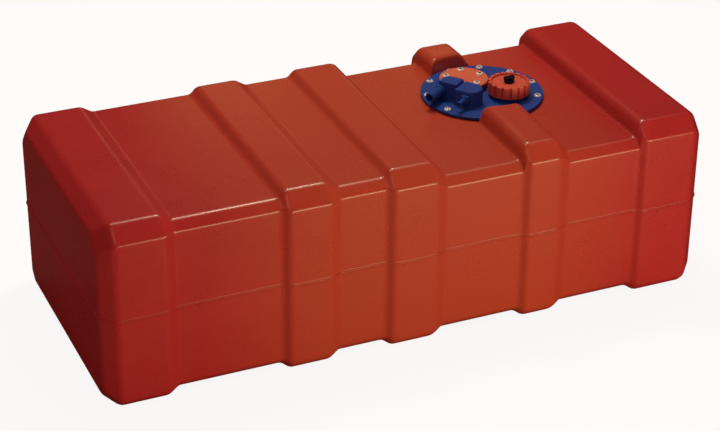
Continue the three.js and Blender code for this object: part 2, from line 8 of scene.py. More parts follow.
import logging
import math
from dataclasses import dataclass, field
from enum import Enum
from typing import Any, Callable, Sequence

import bmesh
import bpy
import numpy as np
from mathutils import Matrix, Vector

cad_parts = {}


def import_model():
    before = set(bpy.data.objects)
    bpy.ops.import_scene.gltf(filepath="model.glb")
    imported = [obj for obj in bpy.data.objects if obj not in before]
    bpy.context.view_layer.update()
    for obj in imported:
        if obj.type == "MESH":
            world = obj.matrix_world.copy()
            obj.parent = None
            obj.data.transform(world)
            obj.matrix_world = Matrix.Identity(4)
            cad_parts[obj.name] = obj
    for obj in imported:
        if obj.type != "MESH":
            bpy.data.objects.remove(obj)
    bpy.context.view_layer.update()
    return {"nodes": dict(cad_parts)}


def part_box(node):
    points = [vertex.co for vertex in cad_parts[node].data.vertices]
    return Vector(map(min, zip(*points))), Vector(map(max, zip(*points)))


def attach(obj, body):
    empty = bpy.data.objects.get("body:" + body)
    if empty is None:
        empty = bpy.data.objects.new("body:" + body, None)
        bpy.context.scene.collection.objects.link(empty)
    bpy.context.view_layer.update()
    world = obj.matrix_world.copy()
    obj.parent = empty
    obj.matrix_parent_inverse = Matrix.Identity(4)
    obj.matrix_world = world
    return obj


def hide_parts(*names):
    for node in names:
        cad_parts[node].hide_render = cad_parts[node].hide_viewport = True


LOG = logging.getLogger("fuel_tank")
MM = 0.001
Array = np.ndarray
Material = bpy.types.Material
Pair = tuple[float, float]
Triple = tuple[float, float, float]
Colour = Triple
Corners = Sequence[Pair]

MERGE_DISTANCE = 1e-6
SLIVER_LENGTH = 1e-7
SHARP_ANGLE = math.radians(42)


def linear(red: int, green: int, blue: int) -> Colour:
    """Turn a display colour of 0 to 255 into the linear colour that a shader takes.

    Args:
        red: display red.
        green: display green.
        blue: display blue.

    Returns:
        The three linear shares.
    """
    shares = np.array([red, green, blue]) / 255
    low = shares / 12.92
    high = ((shares + 0.055) / 1.055) ** 2.4
    return tuple(float(x) for x in np.where(shares <= 0.04045, low, high))


def operator(operation: str, swapped: bool = False) -> Callable[["Signal", Any], "Signal"]:
    """A Signal's method that joins it to a signal or a number with one Math node."""

    def method(self: "Signal", other: Any) -> "Signal":
        inputs = {0: other, 1: self} if swapped else {0: self, 1: other}
        return self.bench.node("ShaderNodeMath", {"operation": operation}, inputs)

    return method


class Signal:
    """A shader socket that takes part in arithmetic, so a mask is written as a sum."""

    __add__, __radd__ = operator("ADD"), operator("ADD", swapped=True)
    __sub__, __rsub__ = operator("SUBTRACT"), operator("SUBTRACT", swapped=True)
    __mul__, __rmul__ = operator("MULTIPLY"), operator("MULTIPLY", swapped=True)

    def __init__(self, bench: "Bench", socket: bpy.types.NodeSocket) -> None:
        """Keep the socket and the bench whose nodes it belongs to."""
        self.bench = bench
        self.socket = socket

    def between(self, low: float, high: float) -> "Signal":
        """Stretch so that low becomes 0 and high becomes 1, eased at both ends.

        Args:
            low: the value that becomes 0.
            high: the value that becomes 1.

        Returns:
            The eased mask.
        """
        settings = {"interpolation_type": "SMOOTHSTEP"}
        inputs = {"Value": self, "From Min": low, "From Max": high}
        return self.bench.node("ShaderNodeMapRange", settings, inputs)


class Bench:
    """A material being made: it adds nodes to the tree and joins them."""

    def __init__(self, tree: bpy.types.NodeTree) -> None:
        """Clear the tree and keep it."""
        self.tree = tree
        tree.nodes.clear()

    def node(
        self,
        kind: str,
        settings: dict[str, Any] | None = None,
        inputs: dict[int | str, Any] | None = None,
        output: int | str = 0,
    ) -> Signal:
        """Add any node, set it up, then fill its sockets.

        Args:
            kind: the node's type name.
            settings: its own options, set first.
            inputs: values or signals by socket name or number.
            output: which output the returned signal reads.

        Returns:
            The chosen output.
        """
        made = self.tree.nodes.new(kind)
        for name, value in (settings or {}).items():
            setattr(made, name, value)
        for name, value in (inputs or {}).items():
            if isinstance(value, Signal):
                self.tree.links.new(value.socket, made.inputs[name])
            else:
                made.inputs[name].default_value = value
        return Signal(self, made.outputs[output] if made.outputs else None)

    def coordinates(self) -> Signal:
        """Places on the object, in metres in the frame's axes."""
        return self.node("ShaderNodeTexCoord", output="Object")

    def noise(self, places: Signal, size: float, detail: float = 2.0) -> Signal:
        """Soft random value from 0 to 1.

        Args:
            places: where it is read.
            size: millimetres from one lump to the next.
            detail: how many finer layers it has.

        Returns:
            The noise.
        """
        inputs = {"Vector": places, "Scale": 1 / (size * MM), "Detail": detail}
        return self.node("ShaderNodeTexNoise", None, inputs)

    def blend(self, share: Any, first: Any, second: Any) -> Signal:
        """Mix two colours, by a signal or a number from 0 to 1."""
        settings = {"data_type": "RGBA"}
        inputs = {0: share, 6: first, 7: second}
        return self.node("ShaderNodeMix", settings, inputs, output=2)


class Moulding(Enum):
    """How the steel tool leaves a moulded surface."""

    SOFT_BLOWN = "blown against the tool, with slow waves"
    INJECTED = "pressed against the tool, flat and fine"


def opaque(colour: Colour, factor: float = 1.0) -> tuple[float, ...]:
    """A colour times a factor, no channel above 1, with a full fourth channel."""
    return (*(min(1.0, factor * x) for x in colour), 1.0)


@dataclass(frozen=True)
class Finish:
    """A material made of nodes. Each kind of finish says what its surface is like."""

    name: str
    colour: Colour

    def surface(self, bench: Bench, places: Signal) -> dict[str, Any]:
        """Work out the shader's inputs.

        Args:
            bench: the material being made.
            places: places on the object.

        Returns:
            Values or signals by socket name, and the relief in metres as "Height".
        """
        raise NotImplementedError

    def make(self) -> Material:
        """Build the material's nodes.

        Returns:
            The finished material.
        """
        material = bpy.data.materials.new(self.name)
        material.use_nodes = True
        bench = Bench(material.node_tree)
        inputs = self.surface(bench, bench.coordinates())
        relief = {"Height": inputs.pop("Height"), "Strength": 1.0, "Distance": 1.0}
        inputs["Normal"] = bench.node("ShaderNodeBump", None, relief)
        shader = bench.node("ShaderNodeBsdfPrincipled", None, inputs)
        bench.node("ShaderNodeOutputMaterial", None, {"Surface": shader})
        return material


@dataclass(frozen=True)
class MouldedPlastic(Finish):
    """Satin moulded plastic: one colour, faint mottling, tool grain and handling marks, and, if one
    is given, a painted orange sheen over the middle.
    """

    moulding: Moulding
    roughness: float = 0.28
    specular: float = 0.50
    mottling: float = 0.04
    cloud_size: float = 85.0
    cloud_weight: float = 0.7
    cloud_range: Pair = (0.3, 0.7)
    cloud_dulling: float = 0.05
    speckle_size: float = 7.0
    grain_size: float = 2.4
    grain_depth: float = 0.003
    grain_dulling: float = 0.03
    wave_size: float = 60.0
    wave_depth: float = 0.12
    scuff_share: float = 0.06
    scuff_dulling: float = 0.04
    worn_share: float = 0.28
    worn_lift: float = 0.12
    streak_turn: tuple[float, ...] = (0.3, 0.2, 0.7)
    streak_stretch: tuple[float, ...] = (1.0, 0.12, 0.6)
    streak_size: float = 1.6
    streak_range: Pair = (0.56, 0.72)
    patch_size: float = 70.0
    patch_range: Pair = (0.45, 0.65)
    # Painted sheen: towards the middle along X the colour drifts to this warmer orange, standing in
    # for the orange sheen that the lamps leave there.
    painted_sheen_colour: Colour | None = None
    painted_sheen_middle: float = 0.03
    painted_sheen_reach: Pair = (0.05, 0.37)

    def surface(self, bench: Bench, places: Signal) -> dict[str, Any]:
        """Mottled colour with rubbed marks and, if given, a painted sheen over the middle, over
        fine grain and, if blown, slow waves.
        """
        broad = bench.noise(places, self.cloud_size, 3.0)
        fine = bench.noise(places, self.grain_size, 3.0)
        speckle = bench.noise(places, self.speckle_size, 4.0)
        dark, pale = opaque(self.colour, 1 - self.mottling), opaque(self.colour, 1 + self.mottling)
        cloud = broad * self.cloud_weight + speckle * (1 - self.cloud_weight)
        body = bench.blend(cloud.between(*self.cloud_range), dark, pale)
        # Painted sheen: blend towards the sheen colour near the middle of the tank.
        if self.painted_sheen_colour is not None:
            body = bench.blend(self._painted_sheen_share(bench, places), body, opaque(self.painted_sheen_colour))
        scuffs = self._scuffs(bench, places)
        grey = self.worn_share * (sum(self.colour) / 3 + self.worn_lift)
        worn = opaque(tuple((1 - self.worn_share) * x + grey for x in self.colour))
        rough = self.roughness + (fine - 0.5) * self.grain_dulling + scuffs * self.scuff_dulling
        height = fine * (self.grain_depth * MM)
        if self.moulding is Moulding.SOFT_BLOWN:
            height = height + bench.noise(places, self.wave_size, 1.0) * (self.wave_depth * MM)
        return {
            "Base Color": bench.blend(scuffs * self.scuff_share, body, worn),
            "Roughness": rough + (broad - 0.5) * self.cloud_dulling,
            "Specular IOR Level": self.specular,
            "Height": height,
        }

    def _painted_sheen_share(self, bench: Bench, places: Signal) -> Signal:
        """How strongly the painted sheen shows at a place along X: 1 in the middle, 0 near the
        ends.
        """
        along = bench.node("ShaderNodeSeparateXYZ", None, {0: places}, output="X")
        near, far = self.painted_sheen_reach
        away = (along - self.painted_sheen_middle) * (along - self.painted_sheen_middle)
        return 1 - away.between(near * near, far * far)

    def _scuffs(self, bench: Bench, places: Signal) -> Signal:
        """Fine rubbed streaks, broken up so that they come and go."""
        inputs = {"Vector": places, "Rotation": self.streak_turn, "Scale": self.streak_stretch}
        stretched = bench.node("ShaderNodeMapping", {"vector_type": "POINT"}, inputs)
        streaks = bench.noise(stretched, self.streak_size, 4.0).between(*self.streak_range)
        return streaks * bench.noise(places, self.patch_size, 2.0).between(*self.patch_range)


@dataclass(frozen=True)
class TurnedSteel(Finish):
    """Bright stainless steel with fine scratches."""

    roughness: float = 0.26
    metallic: float = 0.18
    mark_size: float = 0.5
    mark_depth: float = 0.006
    smear_size: float = 4.0
    smear_range: Pair = (0.35, 0.7)
    smear_dulling: float = 0.10
    smear_shade: float = 0.88

    def surface(self, bench: Bench, places: Signal) -> dict[str, Any]:
        """Scratches all over, and smears that dull the metal in places."""
        marks = bench.noise(places, self.mark_size, 3.0)
        smear = bench.noise(places, self.smear_size, 2.0).between(*self.smear_range)
        smeared = opaque(self.colour, self.smear_shade)
        return {
            "Base Color": bench.blend(smear, opaque(self.colour), smeared),
            "Metallic": self.metallic,
            "Roughness": self.roughness + smear * self.smear_dulling,
            "Height": marks * (self.mark_depth * MM),
        }


@dataclass(frozen=True)
class SealRubber(Finish):
    """Matt black rubber with a dusty bloom."""

    bloom: Colour
    roughness: float = 0.78
    specular: float = 0.3
    dust_size: float = 5.0
    dust_range: Pair = (0.42, 0.75)
    dust_share: float = 0.5
    dust_dulling: float = 0.12
    grain_size: float = 0.7
    grain_depth: float = 0.02

    def surface(self, bench: Bench, places: Signal) -> dict[str, Any]:
        """Dust in soft patches over a fine grain."""
        dust = bench.noise(places, self.dust_size, 4.0).between(*self.dust_range)
        grain = bench.noise(places, self.grain_size, 2.0)
        bloom = opaque(self.bloom)
        return {
            "Base Color": bench.blend(dust * self.dust_share, opaque(self.colour), bloom),
            "Roughness": self.roughness + dust * self.dust_dulling,
            "Specular IOR Level": self.specular,
            "Height": grain * (self.grain_depth * MM),
        }


@dataclass
class Shell:
    """One closed surface: corner points in millimetres and faces of any number of corners."""

    corners: Array
    faces: list[tuple[int, ...]]

    def moved(self, place: Callable[[Array], Array]) -> "Shell":
        """The same surface with each corner put through a placing rule."""
        return Shell(place(self.corners), self.faces)


def grid_faces(rows: int, columns: int, ring: bool) -> list[tuple[int, ...]]:
    """Faces between neighbouring points of a grid.

    Args:
        rows: how many rows of points.
        columns: how many points in a row.
        ring: whether each row closes on itself.

    Returns:
        Four-cornered faces as point numbers.
    """
    across = np.arange(columns if ring else columns - 1)
    down = np.arange(rows - 1)[:, None] * columns
    following = (across + 1) % columns
    quads = np.stack(
        [down + across, down + following, down + following + columns, down + across + columns],
        axis=-1,
    )
    return [tuple(face) for face in quads.reshape(-1, 4).tolist()]


def rounded(
    points: Array | Corners,
    radii: Array | Sequence[float],
    steps: int = 6,
    closed: bool = False,
    support: float = 0.6,
) -> Array:
    """Round the corners of a polyline with true arcs.

    Each corner C between the directions u and v to its neighbours is cut back by
    r * tan(half the turn), and the arc is the rational quadratic curve from one cut to
    the other with C as its middle point and cos(half the turn) as that point's weight.
    One more point stands a little before and after each arc, so that the flat faces stay flat.

    Args:
        points: corners, shaped (..., count, 2).
        radii: a radius for each corner, shaped (..., count) or (count,).
        steps: pieces in each arc.
        closed: whether the last corner joins the first.
        support: distance of the extra points from the arcs.

    Returns:
        The rounded line, shaped (..., many, 2).
    """
    points = np.asarray(points, float)
    radii = np.broadcast_to(np.asarray(radii, float), points.shape[:-1])
    before = np.roll(points, 1, axis=-2) - points
    after = np.roll(points, -1, axis=-2) - points
    before_length = np.linalg.norm(before, axis=-1)
    after_length = np.linalg.norm(after, axis=-1)
    u = before / np.maximum(before_length, 1e-9)[..., None]
    v = after / np.maximum(after_length, 1e-9)[..., None]
    half_turn = (math.pi - np.arccos(np.clip((u * v).sum(-1), -1, 1))) / 2
    cut = np.minimum(radii * np.tan(half_turn), 0.48 * np.minimum(before_length, after_length))
    spare_before = np.clip(before_length / 2 - cut, 0, support)
    spare_after = np.clip(after_length / 2 - cut, 0, support)
    t = np.linspace(0, 1, steps + 1)
    weight = np.cos(half_turn)[..., None]
    start, middle, end = (1 - t) ** 2, 2 * weight * t * (1 - t), t**2
    total = start + middle + end
    first = points + u * cut[..., None]
    last = points + v * cut[..., None]
    arc = (
        start[..., None] * first[..., None, :]
        + middle[..., None] * points[..., None, :]
        + end[..., None] * last[..., None, :]
    ) / total[..., None]
    lead = (first + u * spare_before[..., None])[..., None, :]
    trail = (last + v * spare_after[..., None])[..., None, :]
    corners = np.concatenate([lead, arc, trail], axis=-2)
    if closed:
        return corners.reshape(*points.shape[:-2], -1, 2)
    inner = corners[..., 1:-1, :, :].reshape(*points.shape[:-2], -1, 2)
    return np.concatenate([points[..., :1, :], inner, points[..., -1:, :]], axis=-2)


def widened(polygon: Array, offsets: Array) -> Array:
    """Parallel outlines of a polygon that runs anticlockwise.

    A corner moves by offset * (n1 + n2) / (1 + n1 . n2), n1 and n2 being the outward
    normals of its two edges.

    Args:
        polygon: corners, shaped (count, 2).
        offsets: distances outwards, shaped (rings,).

    Returns:
        Corners for each ring, shaped (rings, count, 2).
    """
    edge = np.roll(polygon, -1, axis=0) - polygon
    edge = edge / np.linalg.norm(edge, axis=1, keepdims=True)
    normal = np.stack([edge[:, 1], -edge[:, 0]], axis=1)
    previous = np.roll(normal, 1, axis=0)
    mitre = (normal + previous) / (1 + (normal * previous).sum(1, keepdims=True))
    return polygon[None] + offsets[:, None, None] * mitre[None]


def upright(polygon: Corners, radii: Sequence[float], profile: Array) -> Shell:
    """A block with rounded corners: parallel outlines stacked along a profile.

    Ring k is the polygon moved outwards by the profile's first number, its corners
    rounded by their radius plus that number, at the height of the second number.

    Args:
        polygon: corners seen from above, anticlockwise.
        radii: the corners' radii.
        profile: (offset, height) pairs from the bottom up.

    Returns:
        The closed block.
    """
    rings = widened(np.array(polygon, float), profile[:, 0])
    radius = np.maximum(np.array(radii)[None] + profile[:, :1], 0.05)
    outline = rounded(rings, radius, steps=10, closed=True)
    heights = np.broadcast_to(profile[:, 1][:, None, None], (*outline.shape[:2], 1))
    corners = np.concatenate([outline, heights], axis=-1)
    rows, columns = outline.shape[:2]
    faces = grid_faces(rows, columns, ring=True)
    faces.append(tuple(range(columns))[::-1])
    faces.append(tuple(range((rows - 1) * columns, rows * columns)))
    return Shell(corners.reshape(-1, 3), faces)


def turned(
    profile: Array, sides: int, swell: Callable[[Array, Array], Array] | None = None
) -> Shell:
    """A profile turned round the Z axis.

    The point at angle a on ring k is (r cos a, r sin a, z), where r is the profile's
    radius, plus what swell adds at that angle and ring.

    Args:
        profile: (radius, height) pairs from one end to the other.
        sides: points round the circle.
        swell: gives an addition to the radius from angles and ring numbers.

    Returns:
        The closed surface, its poles included where the profile reaches the axis.
    """
    angle = np.arange(sides) * (2 * math.pi / sides)
    radius = np.repeat(profile[:, :1], sides, axis=1)
    if swell is not None:
        radius = radius + swell(angle[None, :], np.arange(len(profile))[:, None])
    heights = np.repeat(profile[:, 1:2], sides, axis=1)
    corners = np.stack([radius * np.cos(angle), radius * np.sin(angle), heights], axis=-1)
    faces = grid_faces(len(profile), sides, ring=True)
    closing = np.allclose(profile[0], profile[-1])
    if not closing and profile[0, 0] > 1e-6:
        faces.append(tuple(range(sides))[::-1])
    if not closing and profile[-1, 0] > 1e-6:
        faces.append(tuple(range((len(profile) - 1) * sides, len(profile) * sides)))
    return Shell(corners.reshape(-1, 3), faces)


def lathe(
    corners: Corners, radii: Sequence[float], sides: int, steps: int = 5, support: float = 0.6
) -> Shell:
    """A line of (radius, height) corners, rounded and turned round the Z axis."""
    return turned(rounded(corners, radii, steps, support=support), sides)


def washer(inner: float, outer: float, low: float, high: float, edge: float, sides: int) -> Shell:
    """A flat ring with rounded edges."""
    corners = [(inner, low), (outer, low), (outer, high), (inner, high)]
    line = rounded(corners, [edge] * 4, steps=4, closed=True, support=0.3)
    return turned(np.concatenate([line, line[:1]]), sides)


def at(x: float, y: float, z: float = 0.0) -> Callable[[Array], Array]:
    """A placing rule that moves a shape drawn round the Z axis to a point."""
    return lambda points: points + np.array([x, y, z])


@dataclass(frozen=True)
class PlateAxes:
    """Where the access plate stands, and the direction that its two spigots point in."""

    x: float = 211.0
    y: float = 36.0
    spigot_direction: float = math.radians(216)

    def polar(self, distance: float, angle: float) -> Pair:
        """A place on the plate at a distance and angle from its centre."""
        return self.x + distance * math.cos(angle), self.y + distance * math.sin(angle)

    def from_spigot_axes(self, points: Array) -> Array:
        """Turn points drawn along the spigots, (u, v, z), into the frame's axes."""
        c, s = math.cos(self.spigot_direction), math.sin(self.spigot_direction)
        u, v, z = points[:, 0], points[:, 1], points[:, 2]
        return np.stack([self.x + c * u - s * v, self.y + s * u + c * v, z], axis=1)

    def along_spigot(self, u: float, v: float, z: float) -> Callable[[Array], Array]:
        """A placing rule that lays a turned shape along +u from a starting point."""

        def place(points: Array) -> Array:
            laid = np.stack([u + points[:, 2], v + points[:, 0], z + points[:, 1]], axis=1)
            return self.from_spigot_axes(laid)

        return place


PLATE_AXES = PlateAxes()
NECK_PLACE = (242.02, 9.04)
COVER_PLACE = (195.95, 68.26)


def make_piece(
    name: str,
    shells: Sequence[Shell],
    material: Material,
    slot: str,
    body: str,
    replaced: Sequence[str],
) -> bpy.types.Object:
    """Turn surfaces into one finished object that rides on a body.

    Args:
        name: the object's name.
        shells: its closed surfaces, in millimetres.
        material: its finish.
        slot: the material slot that the finish belongs to; not used.
        body: the frame body that it rides on.
        replaced: the frame nodes that it stands for.

    Returns:
        The object, at the origin with its place in its mesh.
    """
    corners, faces, first = [], [], 0
    for shell in shells:
        corners.append(shell.corners * MM)
        faces.extend(tuple(first + i for i in face) for face in shell.faces)
        first += len(shell.corners)
    mesh = bpy.data.meshes.new(name)
    mesh.from_pydata(np.concatenate(corners).tolist(), [], faces)
    work = bmesh.new()
    work.from_mesh(mesh)
    bmesh.ops.remove_doubles(work, verts=work.verts, dist=MERGE_DISTANCE)
    bmesh.ops.dissolve_degenerate(work, edges=work.edges, dist=SLIVER_LENGTH)
    bmesh.ops.recalc_face_normals(work, faces=work.faces)
    work.to_mesh(mesh)
    work.free()
    mesh.shade_smooth()
    mesh.set_sharp_from_angle(angle=SHARP_ANGLE)
    mesh.materials.append(material)
    made = bpy.data.objects.new(name, mesh)
    bpy.context.scene.collection.objects.link(made)
    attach(made, body)
    if replaced:
        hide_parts(*replaced)
    LOG.info("%s: %d faces", name, len(mesh.polygons))
    return made


@dataclass(frozen=True)
class Ramp:
    """A slope between a sunk panel and a raised band: a wall with a round foot and crest.

    Its line is kept as shares of the height, so a shallower panel takes it at less height.
    """

    low_corner: float
    high_corner: float
    depth: float
    foot_round: float
    crest_round: float
    foot_run: float = 16.0
    crest_run: float = 24.0

    def line(self) -> Array:
        """(place along X, share of the height) points, in order of place."""
        way = math.copysign(1, self.high_corner - self.low_corner)
        corners = [
            (self.low_corner - self.foot_run * way, 0),
            (self.low_corner, 0),
            (self.high_corner, self.depth),
            (self.high_corner + self.crest_run * way, self.depth),
        ]
        radii = [0, self.foot_round, self.crest_round, 0]
        drawn = rounded(corners, radii, steps=9, support=1.2)[1:-1] / np.array([1, self.depth])
        return drawn[np.argsort(drawn[:, 0])]

    def share(self, x: Array) -> Array:
        """How far up the slope each place is, from 0 at the foot to 1 at the crest."""
        drawn = self.line()
        return np.interp(x, drawn[:, 0], drawn[:, 1])

    def stations(self) -> Array:
        """Places where the slope needs a cross-section."""
        places = self.line()[:, 0]
        middle = (places[:-1] + places[1:]) / 2
        return np.concatenate([places, middle[np.diff(places) > 3]])


@dataclass
class TankBody:
    """The blow-moulded tank: five raised bands, four sunk panels, a round seat and a bead."""

    length: float = 925.0
    width: float = 400.0
    height: float = 280.0
    side_recess: float = 8.7
    base_recess: float = 5.9
    base_chamfer: float = 12.5
    band_chamfer: Pair = (20.4, 22.3)
    panel_chamfer: Pair = (12.7, 11.2)
    end_chamfer: float = 20.5
    end_top_drop: float = 18.2
    end_base_rise: float = 12.5
    end_round: float = 15.0
    top_edge_round: float = 14.0
    side_edge_round: float = 9.0
    base_edge_round: float = 11.0
    end_reach: float = 50.0
    lead_in: float = 40.0
    longest_gap: float = 12.0
    flat_rows: int = 4
    base_rows: int = 6
    bead_height: float = 140.0
    bead_proud: float = 1.4
    bead_half: float = 2.2
    bead_flat_share: float = 0.25
    bead_row_shares: tuple[float, ...] = (1.6, 1.0, 0.85, 0.7, 0.5, 0.35, 0.2)
    seat_height: float = 254.4
    seat_radius: float = 94.5
    seat_row_reach: float = 58.0
    seat_row_steps: tuple[float, ...] = (
        *(-6, -2.4, -1.6, -1.0, -0.5, -0.1, 0.3, 0.8, 1.2),
        *(1.8, 2.6, 3.6, 4.8, 6.2, 7.8, 9.5, 13.0),
    )
    seat_wall_shares: tuple[Pair, ...] = (
        *((-1.8, 0.0), (-1.1, 0.012), (-0.6, 0.04), (-0.2, 0.09), (0.0, 0.15)),
        *((0.5, 0.52), (0.9, 0.66), (1.3, 0.755), (1.9, 0.835), (2.7, 0.895)),
        *((3.7, 0.94), (4.9, 0.97), (6.3, 0.988), (7.9, 0.997), (9.5, 1.0)),
    )
    seat_swell: float = 4.0
    swell_from: float = 180.0
    swell_run: float = 118.0
    swell_middle: float = 200.0
    swell_half: float = 60.0
    least_fall_depth: float = 16.0
    recesses: tuple[float, ...] = (10.7, 10.7, 25.6, 25.6)
    falls: tuple[Pair, ...] = (
        (-371.4, -354.4),
        (-132.3, -115.3),
        (28.2, 45.2),
        (221.1, 238.1),
    )
    rises: tuple[Pair, ...] = (
        (-206.2, -188.2),
        (-49.9, -31.9),
        (161.0, 179.0),
        (348.8, 366.8),
    )
    fall_rounds: Pair = (9.0, 14.0)
    steep_rounds: Pair = (5.0, 13.0)
    steep_corners: Pair = (4.2, 10.4)
    soft_rounds: Pair = (12.0, 12.0)
    soft_corners: Pair = (3.5, 4.0)
    deep_from: float = 20.0
    falling: list[Ramp] = field(init=False)
    rising: list[Ramp] = field(init=False)
    side_rising: list[Ramp] = field(init=False)

    def __post_init__(self) -> None:
        """Work out the eased slopes: steep ones rise from deep panels, soft ones elsewhere."""
        depths = self.recesses
        self.falling = [
            Ramp(foot, crest, max(depth, self.least_fall_depth), *self.fall_rounds)
            for (crest, foot), depth in zip(self.falls, depths)
        ]
        soft, steep = (self.soft_corners, self.soft_rounds), (self.steep_corners, self.steep_rounds)
        self.side_rising = [self.rise(*ends, min(depths), *soft) for ends in self.rises]
        self.rising = [
            self.rise(*ends, depth, *steep) if depth > self.deep_from else side
            for ends, depth, side in zip(self.rises, depths, self.side_rising)
        ]

    @staticmethod
    def rise(foot: float, crest: float, depth: float, corners: Pair, rounds: Pair) -> Ramp:
        """A slope up to the next band, its corners drawn in from its foot and its crest."""
        return Ramp(foot + corners[0], crest - corners[1], depth, *rounds)

    def sunk(self, x: Array, rising: list[Ramp]) -> Array:
        """How deep in each panel a place is, shaped (panels, places), from 0 to 1."""
        rows = []
        for fall, rise in zip(self.falling, rising):
            middle = (fall.low_corner + rise.low_corner) / 2
            rows.append(1 - np.where(x < middle, fall.share(x), rise.share(x)))
        return np.array(rows)

    def end_line(self) -> Array:
        """The outline of one end from above: (distance from the end, inset), corners rounded."""
        cut = self.end_chamfer
        corners = [(3 * cut, 0), (cut, 0), (0, cut), (0, self.end_reach)]
        return rounded(corners, [self.end_round] * 4, steps=9, support=1.5)[:-1]

    def stations(self) -> tuple[Array, Array, Array]:
        """Every cross-section along the tank.

        Returns:
            Its place along X, how far it is inset for the end, and its outward
            direction seen from above, shaped (count, 2).
        """
        ramps = (*self.falling, *self.rising, *self.side_rising)
        slopes = np.unique(np.concatenate([ramp.stations() for ramp in ramps]).round(3))
        half = self.length / 2
        line = self.end_line()
        flats = (slopes[:-1] + slopes[1:]) / 2
        flats = flats[np.diff(slopes) > self.longest_gap]
        x = np.sort(np.concatenate([slopes, flats]))
        places = np.concatenate([-half + line[::-1, 0], x, half - line[:, 0]])
        inset = np.concatenate([line[::-1, 1], np.zeros(len(x)), line[:, 1]])
        step = np.gradient(line, axis=0)
        step = step / np.linalg.norm(step, axis=1, keepdims=True)
        left = np.stack([-step[:, 1], -step[:, 0]], axis=1)[::-1]
        right = left[::-1] * np.array([-1, 1])
        straight = np.repeat([[0.0, 1.0]], len(x), axis=0)
        return places, inset, np.concatenate([left, straight, right])

    def bead(self, heights: Array) -> Array:
        """How far the parting bead stands out: flat in the middle, eased into the wall."""
        away = np.abs(heights - self.bead_height) / self.bead_half
        flat = self.bead_flat_share
        ease = np.clip((away - flat) / (1 - flat), 0, 1)
        return self.bead_proud * (1 - ease * ease * (3 - 2 * ease))

    def side_line(self, half: Array, top: Array, base: Array, chamfer: Array) -> Array:
        """The outline of one side in cross-section, from the top edge to the base.

        Args:
            half: half the width at each station.
            top: height of the top.
            base: height of the base.
            chamfer: (width, drop) of the upper chamfer, shaped (stations, 2).

        Returns:
            (y, z) points, shaped (stations, points, 2).
        """
        cut, lead = self.base_chamfer, self.lead_in
        inner, drop = half - chamfer[:, 0], chamfer[:, 1]
        across = [inner - lead, inner, half, half, half - cut, half - cut - lead]
        up = [top, top, top - drop, base + cut, base, base]
        corners = np.stack([np.stack(across, axis=1), np.stack(up, axis=1)], axis=-1)
        base_rounds = [self.base_edge_round] * 2
        radii = [0, self.top_edge_round, self.side_edge_round, *base_rounds, 0]
        line = rounded(corners, radii, steps=7, support=2.0)[:, 1:-1]
        wall = len(line[0]) // 2
        above = self.bead_row_shares
        rows = np.array([*above, 0, *(-share for share in above[::-1])])
        levels = self.bead_height + self.bead_half * rows
        flat = np.stack(np.broadcast_arrays(half[:, None], levels[None, :]), axis=-1)
        return np.concatenate([line[:, :wall], flat, line[:, wall:]], axis=1)

    def seat_rows(self, x: Array) -> tuple[Array, Array]:
        """Rows across the top that follow the round seat's wall.

        A row keeps one distance R from the seat's centre: y = cy -/+ sqrt(R^2 - d^2),
        with d the distance along X, held at seat_row_reach beyond the seat.

        Args:
            x: places along the tank.

        Returns:
            The back rows and the front rows, shaped (stations, rows), from +Y to -Y.
        """
        reach = self.seat_row_reach
        radius = self.seat_radius + np.array(self.seat_row_steps)
        away = np.clip(x - PLATE_AXES.x, -reach, reach)[:, None]
        reach = np.sqrt(radius[None, :] ** 2 - away**2)
        return PLATE_AXES.y + reach[:, ::-1], PLATE_AXES.y - reach

    def seat_share(self, x: Array, y: Array) -> Array:
        """How much of a band's height stands at a place: 0 on the seat, 1 beyond its wall.

        The wall rises from a small round at its foot to a wide round at its top.
        """
        away = np.hypot(x - PLATE_AXES.x, y - PLATE_AXES.y) - self.seat_radius
        distances, shares = np.array(self.seat_wall_shares).T
        return np.interp(away, distances, shares)

    def skin(self) -> Shell:
        """The whole outer skin.

        A grid of stations along X by points round the cross-section. Each point is
        (x, y, z) + bead * outward direction, and on top
        z = seat + (band or panel height - seat) * seat share.

        Returns:
            The closed skin, each end filled by strips from front to back.
        """
        x, inset, outward = self.stations()
        sunk = self.sunk(x, self.rising)
        any_sunk = self.sunk(x, self.side_rising).sum(0)
        ratio = inset / self.end_chamfer
        half = self.width / 2 - self.side_recess * any_sunk - inset
        top = self.height - np.array(self.recesses) @ sunk - self.end_top_drop * ratio
        base = self.base_recess * any_sunk + self.end_base_rise * ratio
        band, panel = np.array(self.band_chamfer), np.array(self.panel_chamfer)
        chamfer = band + (panel - band) * any_sunk[:, None]
        side = self.side_line(half, top, base, chamfer)
        back_rows, front_rows = self.seat_rows(x)
        edge = side[:, 0, 0]
        lead = np.linspace(0, 1, self.flat_rows + 2)[1:-1]
        back_flat = edge[:, None] + (back_rows[:, :1] - edge[:, None]) * lead
        front_flat = front_rows[:, -1:] + (-edge[:, None] - front_rows[:, -1:]) * lead
        floor = back_rows[:, -1:] + (front_rows[:, :1] - back_rows[:, -1:]) * lead
        rows = np.concatenate([back_flat, back_rows, floor, front_rows, front_flat], axis=1)
        across = np.broadcast_to(x[:, None], rows.shape)
        swell = self.swell(across, rows, top)
        share = self.seat_share(across, rows)
        low = np.minimum(self.seat_height, top)[:, None]
        heights = low + (top[:, None] + swell - low) * share
        lid = np.stack([rows, heights], axis=-1)
        front = side * np.array([-1, 1])
        loop = np.concatenate([side[:, ::-1], lid, front], axis=1)
        base_inner = side[:, -1:, 0]
        steps = np.linspace(0, 1, self.base_rows + 2)[1:-1]
        under = np.broadcast_arrays(-base_inner + 2 * base_inner * steps, base[:, None])
        loop = np.concatenate([loop, np.stack(under, axis=-1)], axis=1)
        bulge = self.bead(loop[..., 1]) * (np.abs(loop[..., 0]) > half[:, None] - 1e-6)
